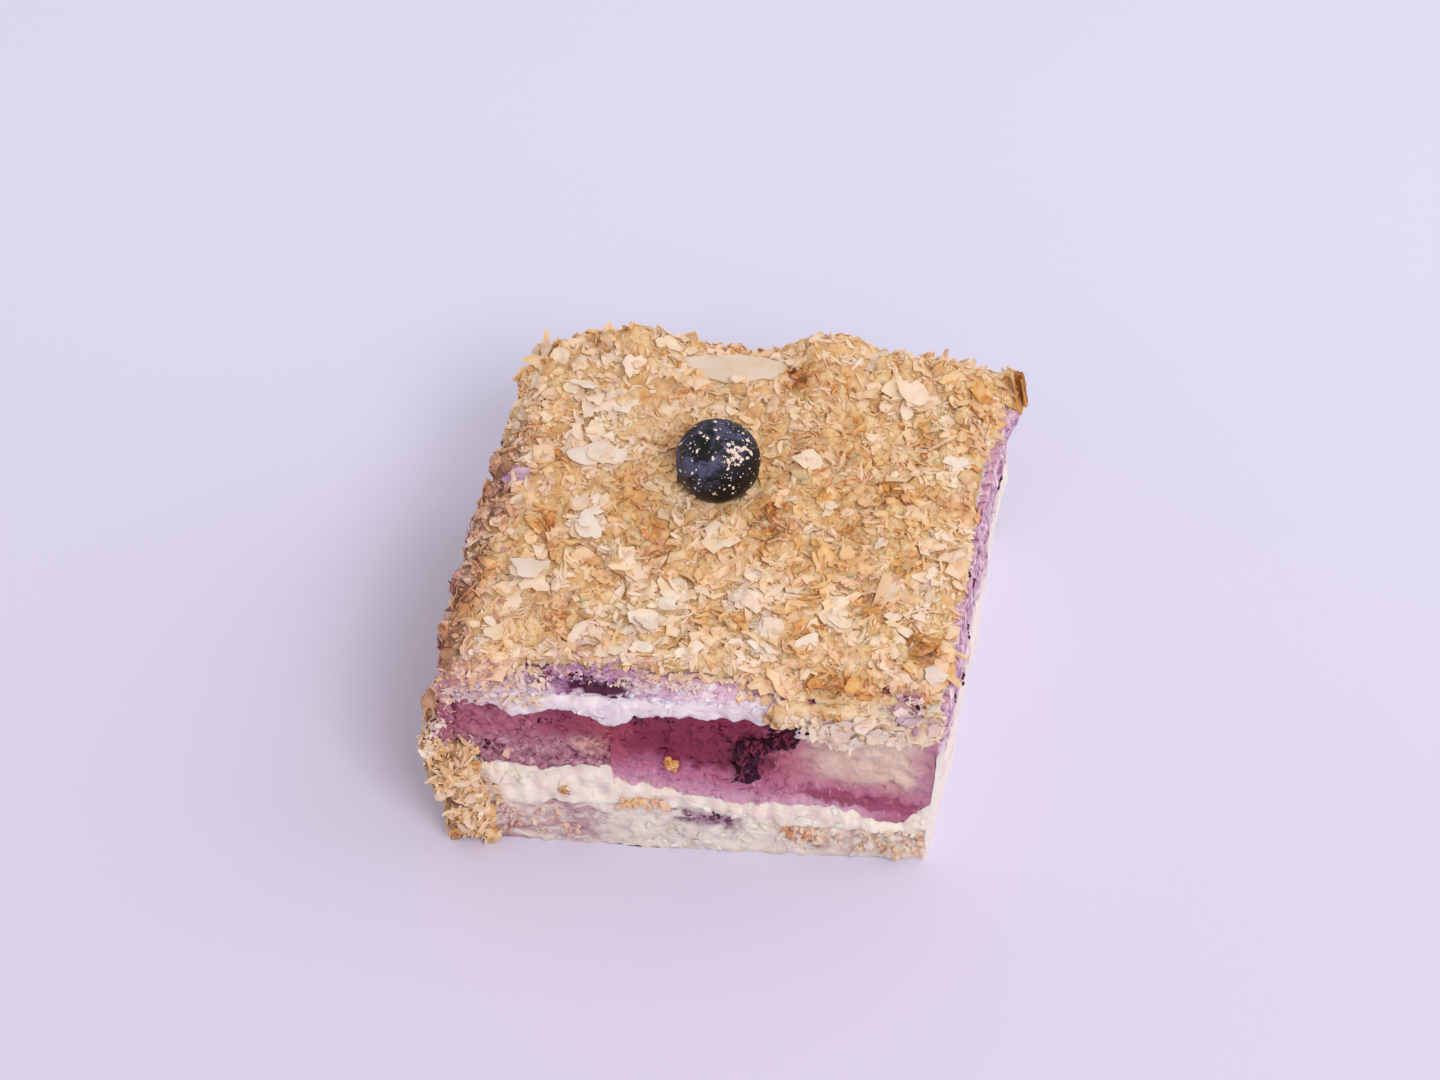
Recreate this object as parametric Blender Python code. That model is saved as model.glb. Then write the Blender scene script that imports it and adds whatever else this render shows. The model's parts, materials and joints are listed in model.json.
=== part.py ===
"""A square piece of layered berry cake under crumbled flaky pastry, with one berry on top.

The numbers are millimetres and every mesh is made in metres, +Z up. The cut face that shows the
layers looks along -Y. The left and back sides carry pastry crumbs, the right side a coat of cream.
"""

import math
import random

import bmesh
import bpy
from mathutils import Euler, Matrix, Vector, noise

METRES = 0.001
GAP = 0.3

# The block of layers, inside its coats. Its plan leans and bows, as a piece cut by hand does.
BLOCK_LEFT = -44.2
BLOCK_WIDTH = 78.6
BLOCK_FRONT = -38.0
BLOCK_BACK = 34.4
LEAN = 0.121
BOW = 1.1
FRONT_BOW = 0.7
BACK_BOW = 1.8
MIDDLE_Y = 0.0
HALF_DEPTH = 38.0

# The right side leans in towards its foot, below this height.
TUCK = 1.6
TUCK_HEIGHT = 30.0

# Where the two pieces of soaked sponge meet, as x on the cut face.
SEAM_X = -18.7
SEAM_HALF_WIDTH = 0.15

# The grid that all layers share, so that two layers never cross between its points.
COLUMNS_LEFT = 8
COLUMNS_RIGHT = 14
ROWS = 4
FRONT_ROW_DEPTH = 2.6

# Heights on the cut face.
BASE_TOP = 9.1
SOAKED_BOTTOM_LEFT = 19.7
SOAKED_BOTTOM_RIGHT = 17.1
SOAKED_TOP = 34.6
CREAM_TOP = 38.0
BERRY_CREAM_THICK = 1.9
CRUMB_THICK = 1.9
CRUMB_GAP = 0.45
CRUMB_ROUGHNESS = 1.1
LEAST_CRUMB = 0.35
FLAKE_CLEARANCE = 0.2

# The coats.
SIDE_CRUMB_THICK = 2.2
BACK_CRUMB_THICK = 2.4
SIDE_CREAM_THICK = 1.5
SIDE_CREAM_TOP = 39.0
LIP_THICK = 1.5
LIP_STANDOFF = 0.8
LIP_ENDS = (8.5, 34.8)
LIP_TOP = 40.4
COAT_FOOT = 0.3
COAT_HEIGHT = 40.2
ROUNDING = 0.7
BARE_MARGIN = 5.0
FRONT_OVERHANG = 1.4
RIGHT_OVERHANG = 0.4
LEFT_OVERHANG = 1.6
BACK_CORNER_OVERHANG = 1.5

# The mounds of crumbs at the back: x, half width and height.
BACK_MOUNDS = ((-21.0, 12.0, 4.6), (13.0, 8.5, 4.8), (29.0, 8.0, 2.6))
MOUND_START = 22.0
MOUND_CREST = 34.5

# The edge of the tuft at the left front corner: its x at the table, and how far it moves out for
# each millimetre of height, on its two sides.
TUFT_FOOT = (-43.7, -35.8)
TUFT_SPREAD = (0.235, 0.32)
TUFT_HEIGHTS = (1.0, 25.5)

# Crumbs pressed into the cut face: x, z, half width, half height and turn in radians.
BASE_CRUMBS = (
    (-26.0, 3.6, 1.5, 0.9, 0.2),
    (16.5, 5.0, 1.8, 1.1, -0.3),
    (24.0, 4.2, 1.0, 1.3, 0.5),
    (28.6, 2.8, 2.2, 1.0, 0.1),
)
LOWER_CREAM_CRUMBS = ((-26.6, 15.0, 0.5, 1.7, 0.3), (-35.5, 16.5, 1.2, 1.6, -0.4))
SOAKED_SPONGE_CRUMBS = ((-8.8, 24.0, 1.4, 1.6, 0.4),)
FACE_CRUMB_OUT = 0.9
FACE_CRUMB_SUNK = 0.9
FACE_CRUMB_SIDES = 6

# The berry on top.
BERRY_RADIUS = 7.15
BERRY_HALF_HEIGHT = 6.8
BERRY_PLACE = (-4.5, 6.4, 47.3)

# The flakes of the pastry coat, as radius and thickness.
FLAKE_SIDES = 5
FLAKE_RADIUS = (1.3, 3.0)
FLAKE_THICK = (0.6, 0.9)
FLAKE_SINK = 0.25
FLAKE_SEED = 39
TOP_FLAKES = (11, 10)
LEFT_FLAKES = (7, 4)
BACK_FLAKES = (7, 3)
LIP_FLAKES = (7, 1)
TUFT_FLAKES = (2, 5)

# The smooth pale sheet of pastry near the back.
SHEET_SIZE = (18.0, 6.5, 0.8)
SHEET_CENTRE = (-2.0, 30.4)
SHEET_SLOPE = 0.2

# The browned curl of pastry at the back right corner: its wall, its height and its lean.
CURL_RADII = (1.1, 1.8)
CURL_HEIGHT = 5.4
CURL_START = math.radians(-40.0)
CURL_SWEEP = math.radians(280.0)
CURL_LEAN = (math.radians(-14.0), math.radians(12.0))
CURL_FROM_CORNER = (-0.4, -1.2)
CURL_FOOT = 40.0


def ramp(value, start, end):
    """0 at start and 1 at end, with a smooth rise between them."""
    share = min(1.0, max(0.0, (value - start) / (end - start)))
    return share * share * (3.0 - 2.0 * share)


def bell(value, centre, width):
    """1 at the centre, and about a third at one width from it."""
    return math.exp(-(((value - centre) / width) ** 2))


def waver(x, y, size, height, salt=0.0):
    """A smooth uneven wave, with lumps of one size."""
    return height * noise.noise(Vector((x / size, y / size, salt)))


# ---------------------------------------------------------------- plan of the block


def lean_at(y):
    """How far the plan is shifted along X at a depth."""
    bowed = BOW * max(0.0, 1.0 - ((y - MIDDLE_Y) / HALF_DEPTH) ** 2)
    return LEAN * (y - BLOCK_FRONT) - bowed


def column_x(column):
    """The x that a grid column has on the cut face."""
    if column <= COLUMNS_LEFT:
        start, end = BLOCK_LEFT, SEAM_X - SEAM_HALF_WIDTH
        return start + (end - start) * column / COLUMNS_LEFT
    start, end = SEAM_X + SEAM_HALF_WIDTH, BLOCK_LEFT + BLOCK_WIDTH
    return start + (end - start) * (column - COLUMNS_LEFT - 1) / COLUMNS_RIGHT


def bow_share(x):
    """1 in the middle of the block's width and 0 at its two sides."""
    middle = BLOCK_LEFT + BLOCK_WIDTH / 2
    return max(0.0, 1.0 - ((x - middle) / (BLOCK_WIDTH / 2)) ** 2)


def back_y(x):
    return BLOCK_BACK + BACK_BOW * bow_share(x)


def row_y(row, x):
    """The depth of a grid row. The first two rows are close together."""
    front = BLOCK_FRONT - FRONT_BOW * bow_share(x)
    if row == 0:
        return front
    second = front + FRONT_ROW_DEPTH
    return second + (back_y(x) - second) * (row - 1) / (ROWS - 1)


def tuck(x, z):
    """How far a point is drawn to the left, so that the right side leans in at its foot."""
    share = max(0.0, (x - SEAM_X) / (BLOCK_LEFT + BLOCK_WIDTH - SEAM_X))
    return -TUCK * share * ramp(z, TUCK_HEIGHT, 0.0)


# ---------------------------------------------------------------- heights of the layers


def floor_level(x, y):
    return 0.0


def base_top(x, y):
    """The plain sponge at the bottom is thickest left of the middle."""
    hump = 3.6 * bell(x, -13.0, 17.0)
    return BASE_TOP - 0.03 * (x - BLOCK_LEFT) + hump + waver(x, y, 14.0, 0.5, 1.0)


def soaked_bottom(x, y):
    """The right piece of soaked sponge lies lower than the left one and sags to a round end."""
    if x < SEAM_X:
        level = SOAKED_BOTTOM_LEFT + 1.2 * ramp(x, -30.0, -19.0) + 4.0 * ramp(x, -40.0, -45.0)
    else:
        level = SOAKED_BOTTOM_RIGHT - 3.8 * ramp(x, -18.7, 4.0) - 4.2 * ramp(x, 19.0, 29.5)
        level += 6.0 * ramp(x, 30.5, 34.4)
    return level + waver(x, y, 12.0, 0.45, 2.0)


def soaked_top(x, y):
    """The top of the soaked sponge has a dent, a notch over the seam and a low right half."""
    level = SOAKED_TOP - 2.8 * bell(x, -33.5, 2.6) - 3.6 * bell(x, SEAM_X, 3.0)
    level -= 0.9 * bell(x, -12.0, 4.0)
    level += 0.9 * ramp(x, 24.0, 34.0) - 4.3 * ramp(x, 3.0, 15.0)
    return level + waver(x, y, 13.0, 0.4, 3.0)


def cream_top(x, y):
    """The white cream ends lower at the right, where the crumbs have slumped."""
    return CREAM_TOP - 1.2 * ramp(x, 6.0, 20.0) + waver(x, y, 16.0, 0.35, 4.0)


def edge_share(x, y):
    """1 at the cut face and 0 a few millimetres behind it."""
    return ramp(y, BLOCK_FRONT + 3.4, BLOCK_FRONT - FRONT_BOW)


def berry_cream_bottom(x, y):
    """The lilac cream has lifted off the white cream along a short crack at the cut face."""
    crack = 0.8 * bell(x, -21.5, 5.5) * edge_share(x, y)
    return cream_top(x, y) + GAP + crack


def berry_cream_top(x, y):
    """The lilac cream thins towards the cut face."""
    thin = 0.7 * edge_share(x, y)
    return cream_top(x, y) + BERRY_CREAM_THICK + 0.5 * ramp(x, 6.0, 20.0) - thin


def seat_of_crumbs(x, y):
    """The height of the lilac cream under the crumbs, at a place in the real plan."""
    return berry_cream_top(x - lean_at(y), max(y, BLOCK_FRONT + 4.0)) + CRUMB_GAP


def crumb_top(x, y):
    """The crumbs are heaped in two low mounds at the back and rounded off at the edges."""
    level = seat_of_crumbs(x, y) + CRUMB_THICK
    for centre, half_width, height in BACK_MOUNDS:
        level += height * bell(x, centre, half_width) * ramp(y, MOUND_START, MOUND_CREST)
    left = BLOCK_LEFT + lean_at(y) - SIDE_CRUMB_THICK
    right = BLOCK_LEFT + BLOCK_WIDTH + lean_at(y)
    back = back_y(x - lean_at(y))
    level -= 1.6 * ramp(x, left + 3.5, left) + 0.9 * ramp(x, right - 3.0, right)
    level -= 1.8 * ramp(y, back - 1.0, back + BACK_CRUMB_THICK)
    level -= 0.8 * ramp(y, BLOCK_FRONT + 5.0, BLOCK_FRONT)
    level += waver(x, y, 1.9, CRUMB_ROUGHNESS, 5.0) + waver(x, y, 11.0, 0.5, 6.0)
    return max(level, seat_of_crumbs(x, y) + LEAST_CRUMB)


# ---------------------------------------------------------------- building meshes


def closed_sheet(columns, rows, near, far):
    """A closed body between two surfaces over one grid. near and far give each point's place."""
    body = bmesh.new()
    bmesh.ops.create_grid(body, x_segments=columns, y_segments=rows, size=0.5)
    made = bmesh.ops.extrude_face_region(body, geom=body.faces[:], use_keep_orig=True)
    lifted = {item for item in made["geom"] if isinstance(item, bmesh.types.BMVert)}
    for vertex in body.verts:
        column = round((vertex.co.x + 0.5) * columns)
        row = round((vertex.co.y + 0.5) * rows)
        place = far if vertex in lifted else near
        vertex.co = Vector(place(column, row))
    bmesh.ops.recalc_face_normals(body, faces=body.faces[:])
    return body


def side_edges(body, wanted):
    """The edges whose two ends both pass a test on their place."""
    return [edge for edge in body.edges if all(wanted(end.co) for end in edge.verts)]


def new_vertices(made):
    return [item for item in made["geom_inner"] if isinstance(item, bmesh.types.BMVert)]


def finished_object(name, body, material=None, smooth_angle=None):
    """An object whose mesh is the body in metres."""
    bmesh.ops.scale(body, vec=Vector((METRES, METRES, METRES)), verts=body.verts[:])
    mesh = bpy.data.meshes.new(name)
    body.to_mesh(mesh)
    body.free()
    if smooth_angle is not None:
        mesh.shade_smooth()
        mesh.set_sharp_from_angle(angle=math.radians(smooth_angle))
    if material is not None:
        mesh.materials.append(material)
    piece = bpy.data.objects.new(name, mesh)
    bpy.context.scene.collection.objects.link(piece)
    return piece


def finish_material(name, colour, roughness):
    material = bpy.data.materials.new(name)
    material.use_nodes = True
    shader = material.node_tree.nodes["Principled BSDF"]
    shader.inputs["Base Color"].default_value = (*colour, 1.0)
    shader.inputs["Roughness"].default_value = roughness
    shader.inputs["Metallic"].default_value = 0.0
    material.diffuse_color = (*colour, 1.0)
    return material


def apply_modifiers(piece):
    """The piece's mesh as its modifiers leave it, with the modifiers gone."""
    bpy.context.view_layer.update()
    graph = bpy.context.evaluated_depsgraph_get()
    mesh = bpy.data.meshes.new_from_object(piece.evaluated_get(graph))
    piece.modifiers.clear()
    piece.data = mesh


def keep_largest_shell(piece):
    """Drops the shells that a union leaves loose or sealed inside."""
    body = bmesh.new()
    body.from_mesh(piece.data)
    bmesh.ops.triangulate(body, faces=body.faces[:])
    unseen = set(body.faces)
    shells = []
    while unseen:
        shell = [unseen.pop()]
        for face in shell:
            for edge in face.edges:
                found = [other for other in edge.link_faces if other in unseen]
                unseen.difference_update(found)
                shell.extend(found)
        shells.append(shell)
    shells.sort(key=len)
    scraps = [face for shell in shells[:-1] for face in shell]
    bmesh.ops.delete(body, geom=scraps, context="FACES")
    loose = [vertex for vertex in body.verts if not vertex.link_faces]
    bmesh.ops.delete(body, geom=loose, context="VERTS")
    body.to_mesh(piece.data)
    body.free()


def add_boolean(piece, operation, cutter=None, collection=None, solver="EXACT"):
    modifier = piece.modifiers.new("Boolean " + operation.lower(), "BOOLEAN")
    modifier.operation = operation
    modifier.solver = solver
    if collection is not None:
        modifier.operand_type = "COLLECTION"
        modifier.collection = collection
    else:
        modifier.object = cutter


def fuse(piece, others, solver="EXACT"):
    """Joins other objects to a piece by one Boolean union, and removes them."""
    group = bpy.data.collections.new("to fuse")
    bpy.context.scene.collection.children.link(group)
    for other in others:
        group.objects.link(other)
        bpy.context.scene.collection.objects.unlink(other)
    add_boolean(piece, "UNION", collection=group, solver=solver)
    apply_modifiers(piece)
    for other in others:
        bpy.data.objects.remove(other)
    bpy.data.collections.remove(group)
    keep_largest_shell(piece)


def cut(piece, cutter, solver="EXACT"):
    """Takes the cutter's shape out of a piece, and removes the cutter."""
    add_boolean(piece, "DIFFERENCE", cutter=cutter, solver=solver)
    apply_modifiers(piece)
    bpy.data.objects.remove(cutter)
    keep_largest_shell(piece)


# ---------------------------------------------------------------- layers


def stands_upright(edge):
    along = edge.verts[1].co - edge.verts[0].co
    return abs(along.x) < TUCK and abs(along.z) > 2.0 * abs(along.x)


def layer(first, last, lower, upper, bulge, crumble, salt):
    """A layer between two heights over grid columns first to last, with an uneven cut face."""

    def at(height):
        def place(column, row):
            front_x = column_x(first + column)
            y = row_y(row, front_x)
            z = height(front_x, y)
            return (front_x + lean_at(y) + tuck(front_x, z), y, z)

        return place

    body = closed_sheet(last - first, ROWS, at(lower), at(upper))
    face = side_edges(body, lambda place: place.y < BLOCK_FRONT + 0.3)
    upright = [edge for edge in face if stands_upright(edge)]
    made = bmesh.ops.subdivide_edges(body, edges=upright, cuts=2, use_grid_fill=False)
    for vertex in new_vertices(made):
        vertex.co.y -= bulge + waver(vertex.co.x, vertex.co.z, 2.3, crumble, salt)
    return body


def raised(height):
    """The same surface, one gap higher."""
    return lambda x, y: height(x, y) + GAP


LAST_COLUMN = COLUMNS_LEFT + 1 + COLUMNS_RIGHT


def face_crumb(x, z, half_width, half_height, turn):
    """A crumb of pastry pressed into the cut face."""
    body = bmesh.new()
    bmesh.ops.create_circle(body, cap_ends=True, segments=FACE_CRUMB_SIDES, radius=1.0)
    made = bmesh.ops.extrude_face_region(body, geom=body.faces[:], use_keep_orig=True)
    lifted = {item for item in made["geom"] if isinstance(item, bmesh.types.BMVert)}
    for vertex in body.verts:
        across = vertex.co.x * half_width + 0.2 * half_width * math.sin(7.0 * vertex.co.y + x)
        up = vertex.co.y * half_height
        out = FACE_CRUMB_OUT if vertex in lifted else -FACE_CRUMB_SUNK
        shifted = across * math.cos(turn) - up * math.sin(turn)
        raised_by = across * math.sin(turn) + up * math.cos(turn)
        vertex.co = Vector((x + shifted, row_y(0, x) - out, z + raised_by))
    bmesh.ops.recalc_face_normals(body, faces=body.faces[:])
    return finished_object("crumb on the face", body)


def press_in(piece, crumbs):
    fuse(piece, [face_crumb(*crumb) for crumb in crumbs])


def make_base_sponge():
    body = layer(0, LAST_COLUMN, floor_level, base_top, 0.1, 0.7, 11.0)
    pastry = finish_material("plain_sponge", (0.62, 0.50, 0.42), 0.85)
    sponge = finished_object("base_sponge", body, pastry)
    press_in(sponge, BASE_CRUMBS)
    return sponge


def make_lower_cream():
    body = layer(0, LAST_COLUMN, raised(base_top), soaked_bottom, 0.35, 0.5, 12.0)
    cream = finish_material("white_cream", (0.78, 0.66, 0.62), 0.5)
    layer_of_cream = finished_object("lower_cream", body, cream)
    press_in(layer_of_cream, LOWER_CREAM_CRUMBS)
    return layer_of_cream


def make_soaked_sponges():
    left_body = layer(0, COLUMNS_LEFT, raised(soaked_bottom), soaked_top, 0.0, 0.9, 13.0)
    mauve = finish_material("soaked_sponge_mauve", (0.36, 0.13, 0.18), 0.7)
    left = finished_object("berry_sponge_left", left_body, mauve)
    right_body = layer(
        COLUMNS_LEFT + 1, LAST_COLUMN, raised(soaked_bottom), soaked_top, 0.1, 0.7, 14.0
    )
    magenta = finish_material("soaked_sponge_magenta", (0.28, 0.05, 0.11), 0.6)
    right = finished_object("berry_sponge_right", right_body, magenta)
    press_in(right, SOAKED_SPONGE_CRUMBS)
    return left, right


def make_upper_cream():
    body = layer(0, LAST_COLUMN, raised(soaked_top), cream_top, 0.3, 0.4, 15.0)
    cream = finish_material("upper_white_cream", (0.76, 0.64, 0.68), 0.5)
    return finished_object("upper_cream", body, cream)


def make_berry_cream():
    body = layer(0, LAST_COLUMN, berry_cream_bottom, berry_cream_top, 0.1, 0.4, 16.0)
    lilac = finish_material("lilac_cream", (0.48, 0.30, 0.42), 0.5)
    return finished_object("berry_cream", body, lilac)


def make_side_cream():
    """The smooth cream on the right side, a little fuller at mid-height."""
    columns, rows = 12, 7

    def inner(column, row):
        y = BLOCK_FRONT - 0.2 + (BLOCK_BACK - BLOCK_FRONT) * column / columns
        z = SIDE_CREAM_TOP * row / rows
        right = BLOCK_LEFT + BLOCK_WIDTH
        return (right + lean_at(y) + tuck(right, z) + GAP, y, z)

    def outer(column, row):
        x, y, z = inner(column, row)
        share = row / rows
        full = SIDE_CREAM_THICK * (0.75 + 1.6 * share * (1.0 - share))
        at_end = 0.5 if column in (0, columns) else 0.0
        return (x + full - at_end + waver(y, z, 9.0, 0.5, 20.0), y, z)

    cream = finish_material("side_white_cream", (0.82, 0.70, 0.73), 0.45)
    body = closed_sheet(columns, rows, inner, outer)
    return finished_object("side_cream", body, cream, smooth_angle=50)


# ---------------------------------------------------------------- crushed berry in the cut face

CRUSHED_LUMPS = (
    ((3.3, -38.6, 25.0), (2.1, 3.0, 5.3)),
    ((5.4, -38.3, 28.9), (2.9, 2.4, 2.0)),
    ((9.3, -38.3, 30.4), (2.9, 2.3, 1.3)),
)
CRUSHED_ROUGHNESS = 0.28


def lumps(name, grow, rough, material=None):
    """The crushed berry's lumps joined in one body, grown all round by a distance."""
    pieces = []
    for place, radii in CRUSHED_LUMPS:
        body = bmesh.new()
        bmesh.ops.create_icosphere(body, subdivisions=2, radius=1.0)
        for vertex in body.verts:
            unit = vertex.co.normalized()
            wrinkle = 1.0 + waver(unit.x * 2 + place[0], unit.z * 2 + unit.y, 1.0, rough)
            vertex.co = Vector(
                [centre + part * (r * wrinkle + grow) for centre, part, r in zip(place, unit, radii)]
            )
        pieces.append(finished_object(name + " lump", body, material))
    whole = pieces[0]
    fuse(whole, pieces[1:])
    whole.name = name
    return whole


def make_crushed_berry(sponge):
    """The crushed berry sits in a pocket of the right sponge, which is open at the cut face."""
    cut(sponge, lumps("pocket", GAP, CRUSHED_ROUGHNESS))
    skin = finish_material("crushed_berry_skin", (0.05, 0.01, 0.03), 0.35)
    return lumps("crushed_berry", 0.0, CRUSHED_ROUGHNESS, skin)


# ---------------------------------------------------------------- blueberry on top


def berry_body(grow):
    """A slightly flat, uneven berry."""
    body = bmesh.new()
    bmesh.ops.create_uvsphere(body, u_segments=18, v_segments=11, radius=1.0)
    for vertex in body.verts:
        uneven = 1.0 + waver(vertex.co.x + 4.0, vertex.co.y + vertex.co.z, 1.6, 0.03)
        vertex.co.x = BERRY_PLACE[0] + vertex.co.x * (BERRY_RADIUS * uneven + grow)
        vertex.co.y = BERRY_PLACE[1] + vertex.co.y * (BERRY_RADIUS * uneven + grow)
        vertex.co.z = BERRY_PLACE[2] + vertex.co.z * (BERRY_HALF_HEIGHT * uneven + grow)
    return body


def make_blueberry():
    skin = finish_material("berry_skin", (0.02, 0.02, 0.035), 0.35)
    return finished_object("blueberry", berry_body(0.0), skin, smooth_angle=60)


# ---------------------------------------------------------------- pastry coat


def coat_left(y):
    return BLOCK_LEFT + lean_at(y) - GAP


def side_thickness(y, z):
    """The crumbs of the left side stand out at mid-height near the cut face and thin to the foot."""
    tuft = 2.6 * bell(z, 23.0, 7.0) * bell(y, -40.0, 15.0)
    bare = 1.2 * bell(z, 34.0, 4.0) * bell(y, -40.0, 8.0)
    foot = 1.5 * ramp(z, 15.0, 2.0)
    corner = 1.5 * bell(y, BLOCK_BACK + BACK_CRUMB_THICK, 2.2)
    rough = waver(y, z, 2.1, CRUMB_ROUGHNESS, 7.0)
    return max(LEAST_CRUMB, SIDE_CRUMB_THICK + tuft - bare - foot - corner + rough)


def back_thickness(x, z):
    corner = 1.5 * bell(x, BLOCK_LEFT - SIDE_CRUMB_THICK, 2.2)
    rough = waver(x, z, 2.1, CRUMB_ROUGHNESS, 8.0)
    return max(LEAST_CRUMB, BACK_CRUMB_THICK - corner + rough)


def left_skin(y, z, out):
    """A point at a distance out from the crumbs' surface on the left, and clear of the block."""
    return (coat_left(y) - max(FLAKE_CLEARANCE, side_thickness(y, z) + out), y, z)


def back_skin(x, z, out):
    """A point at a distance out from the crumbs' surface at the back."""
    height = max(FLAKE_CLEARANCE, back_thickness(x, z) + out)
    return (x + lean_at(BLOCK_BACK), back_y(x) + GAP + height, z)


def top_skin(x, y, out):
    """A point at a distance out from the crumbs' surface on top."""
    return (x, y, max(seat_of_crumbs(x, y) + FLAKE_CLEARANCE, crumb_top(x, y) + out))


def face_skin(x, z, out):
    """A point at a distance out from the crumbs that hang in front of the cut face."""
    height = max(FLAKE_CLEARANCE, LIP_THICK + waver(x, z, 2.0, 0.6, 9.0) + out)
    return (x, row_y(0, x) - LIP_STANDOFF - height, z)


def nearly(place):
    """A place rounded off, to tell whether two are the same."""
    return tuple(round(part, 4) for part in place)


def coat_sheet(columns, rows, near, far, roughen):
    """A coat's body, with its outer surface divided finer and roughened."""
    body = closed_sheet(columns, rows, near, far)
    spots = [(column, row) for column in range(columns + 1) for row in range(rows + 1)]
    outer_points = {nearly(far(*spot)) for spot in spots}
    outer = side_edges(body, lambda place: nearly(place) in outer_points)
    made = bmesh.ops.subdivide_edges(body, edges=outer, cuts=1, use_grid_fill=True)
    for vertex in new_vertices(made):
        roughen(vertex)
    return body


def make_top_crumbs():
    columns, rows = 12, 11
    left = BLOCK_LEFT - SIDE_CRUMB_THICK
    width = BLOCK_WIDTH + SIDE_CRUMB_THICK + RIGHT_OVERHANG

    def plan(column, row):
        front_x = left + width * column / columns
        bare = ramp(front_x, -40.0, -34.0) * ramp(front_x, 11.0, 5.0)
        front = BLOCK_FRONT - FRONT_OVERHANG + BARE_MARGIN * bare
        back = back_y(front_x) + BACK_CRUMB_THICK
        y = front + (back - front) * row / rows
        return front_x + lean_at(y), y

    def inner(column, row):
        x, y = plan(column, row)
        return (x, y, seat_of_crumbs(x, y) + 0.1)

    def outer(column, row):
        x, y = plan(column, row)
        x += ROUNDING * (column == 0) - ROUNDING * (column == columns)
        y += ROUNDING * (row == 0) - ROUNDING * (row == rows)
        return top_skin(x, y, 0.0)

    def roughen(vertex):
        vertex.co = Vector(top_skin(vertex.co.x, vertex.co.y, 0.0))

    return finished_object("crumb_coat", coat_sheet(columns, rows, inner, outer, roughen))


def make_left_crumbs():
    columns, rows = 9, 5
    front, back = BLOCK_FRONT - LEFT_OVERHANG, BLOCK_BACK + BACK_CRUMB_THICK

    def spot(column, row):
        return front + (back - front) * column / columns, COAT_FOOT + COAT_HEIGHT * row / rows

    def inner(column, row):
        y, z = spot(column, row)
        return (coat_left(y), y, z)

    def outer(column, row):
        return left_skin(*spot(column, row), 0.0)

    def roughen(vertex):
        vertex.co = Vector(left_skin(vertex.co.y, vertex.co.z, 0.0))

    return finished_object("left crumbs", coat_sheet(columns, rows, inner, outer, roughen))


def make_back_crumbs():
    columns, rows = 10, 4
    left = BLOCK_LEFT - BACK_CORNER_OVERHANG
    width = BLOCK_WIDTH + BACK_CORNER_OVERHANG + RIGHT_OVERHANG

    def spot(column, row):
        return left + width * column / columns, COAT_FOOT + COAT_HEIGHT * row / rows

    def inner(column, row):
        x, z = spot(column, row)
        return (x + lean_at(BLOCK_BACK), back_y(x) + GAP, z)

    def outer(column, row):
        return back_skin(*spot(column, row), 0.0)

    def roughen(vertex):
        front_x = vertex.co.x - lean_at(BLOCK_BACK)
        vertex.co = Vector(back_skin(front_x, vertex.co.z, 0.0))

    return finished_object("back crumbs", coat_sheet(columns, rows, inner, outer, roughen))


def lip_bottom(x):
    """How far down the crumbs hang over the cut face."""
    return 38.5 - 7.4 * ramp(x, 8.0, 18.0) + 2.0 * ramp(x, 20.0, 27.0) + 2.2 * ramp(x, 30.0, 36.0)


def face_patch(columns, rows, spot):
    """A patch of crumbs in front of the cut face, whose grid points spot gives as x and z."""

    def inner(column, row):
        x, z = spot(column, row)
        return (x, row_y(0, x) - LIP_STANDOFF, z)

    def outer(column, row):
        at_foot = 0.6 if row == 0 else 0.0
        return face_skin(*spot(column, row), -at_foot)

    return finished_object("crumbs on the face", closed_sheet(columns, rows, inner, outer))


def make_lip():
    columns, rows = 9, 3
    start, end = LIP_ENDS

    def spot(column, row):
        x = start + (end - start) * column / columns
        return x, lip_bottom(x) + (LIP_TOP - lip_bottom(x)) * row / rows

    return face_patch(columns, rows, spot)


def tuft_x(z, side):
    """The x of the tuft's left (0) or right (1) edge at a height."""
    return TUFT_FOOT[side] - TUFT_SPREAD[side] * z


def make_tuft():
    """Crumbs that wrap from the left side on to the cut face, and hang lower to the right."""
    columns, rows = 3, 5
    low, high = TUFT_HEIGHTS

    def spot(column, row):
        z = low + (high - low) * row / rows
        left, right = tuft_x(z, 0), tuft_x(z, 1)
        return left + (right - left) * column / columns, z

    return face_patch(columns, rows, spot)


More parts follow.
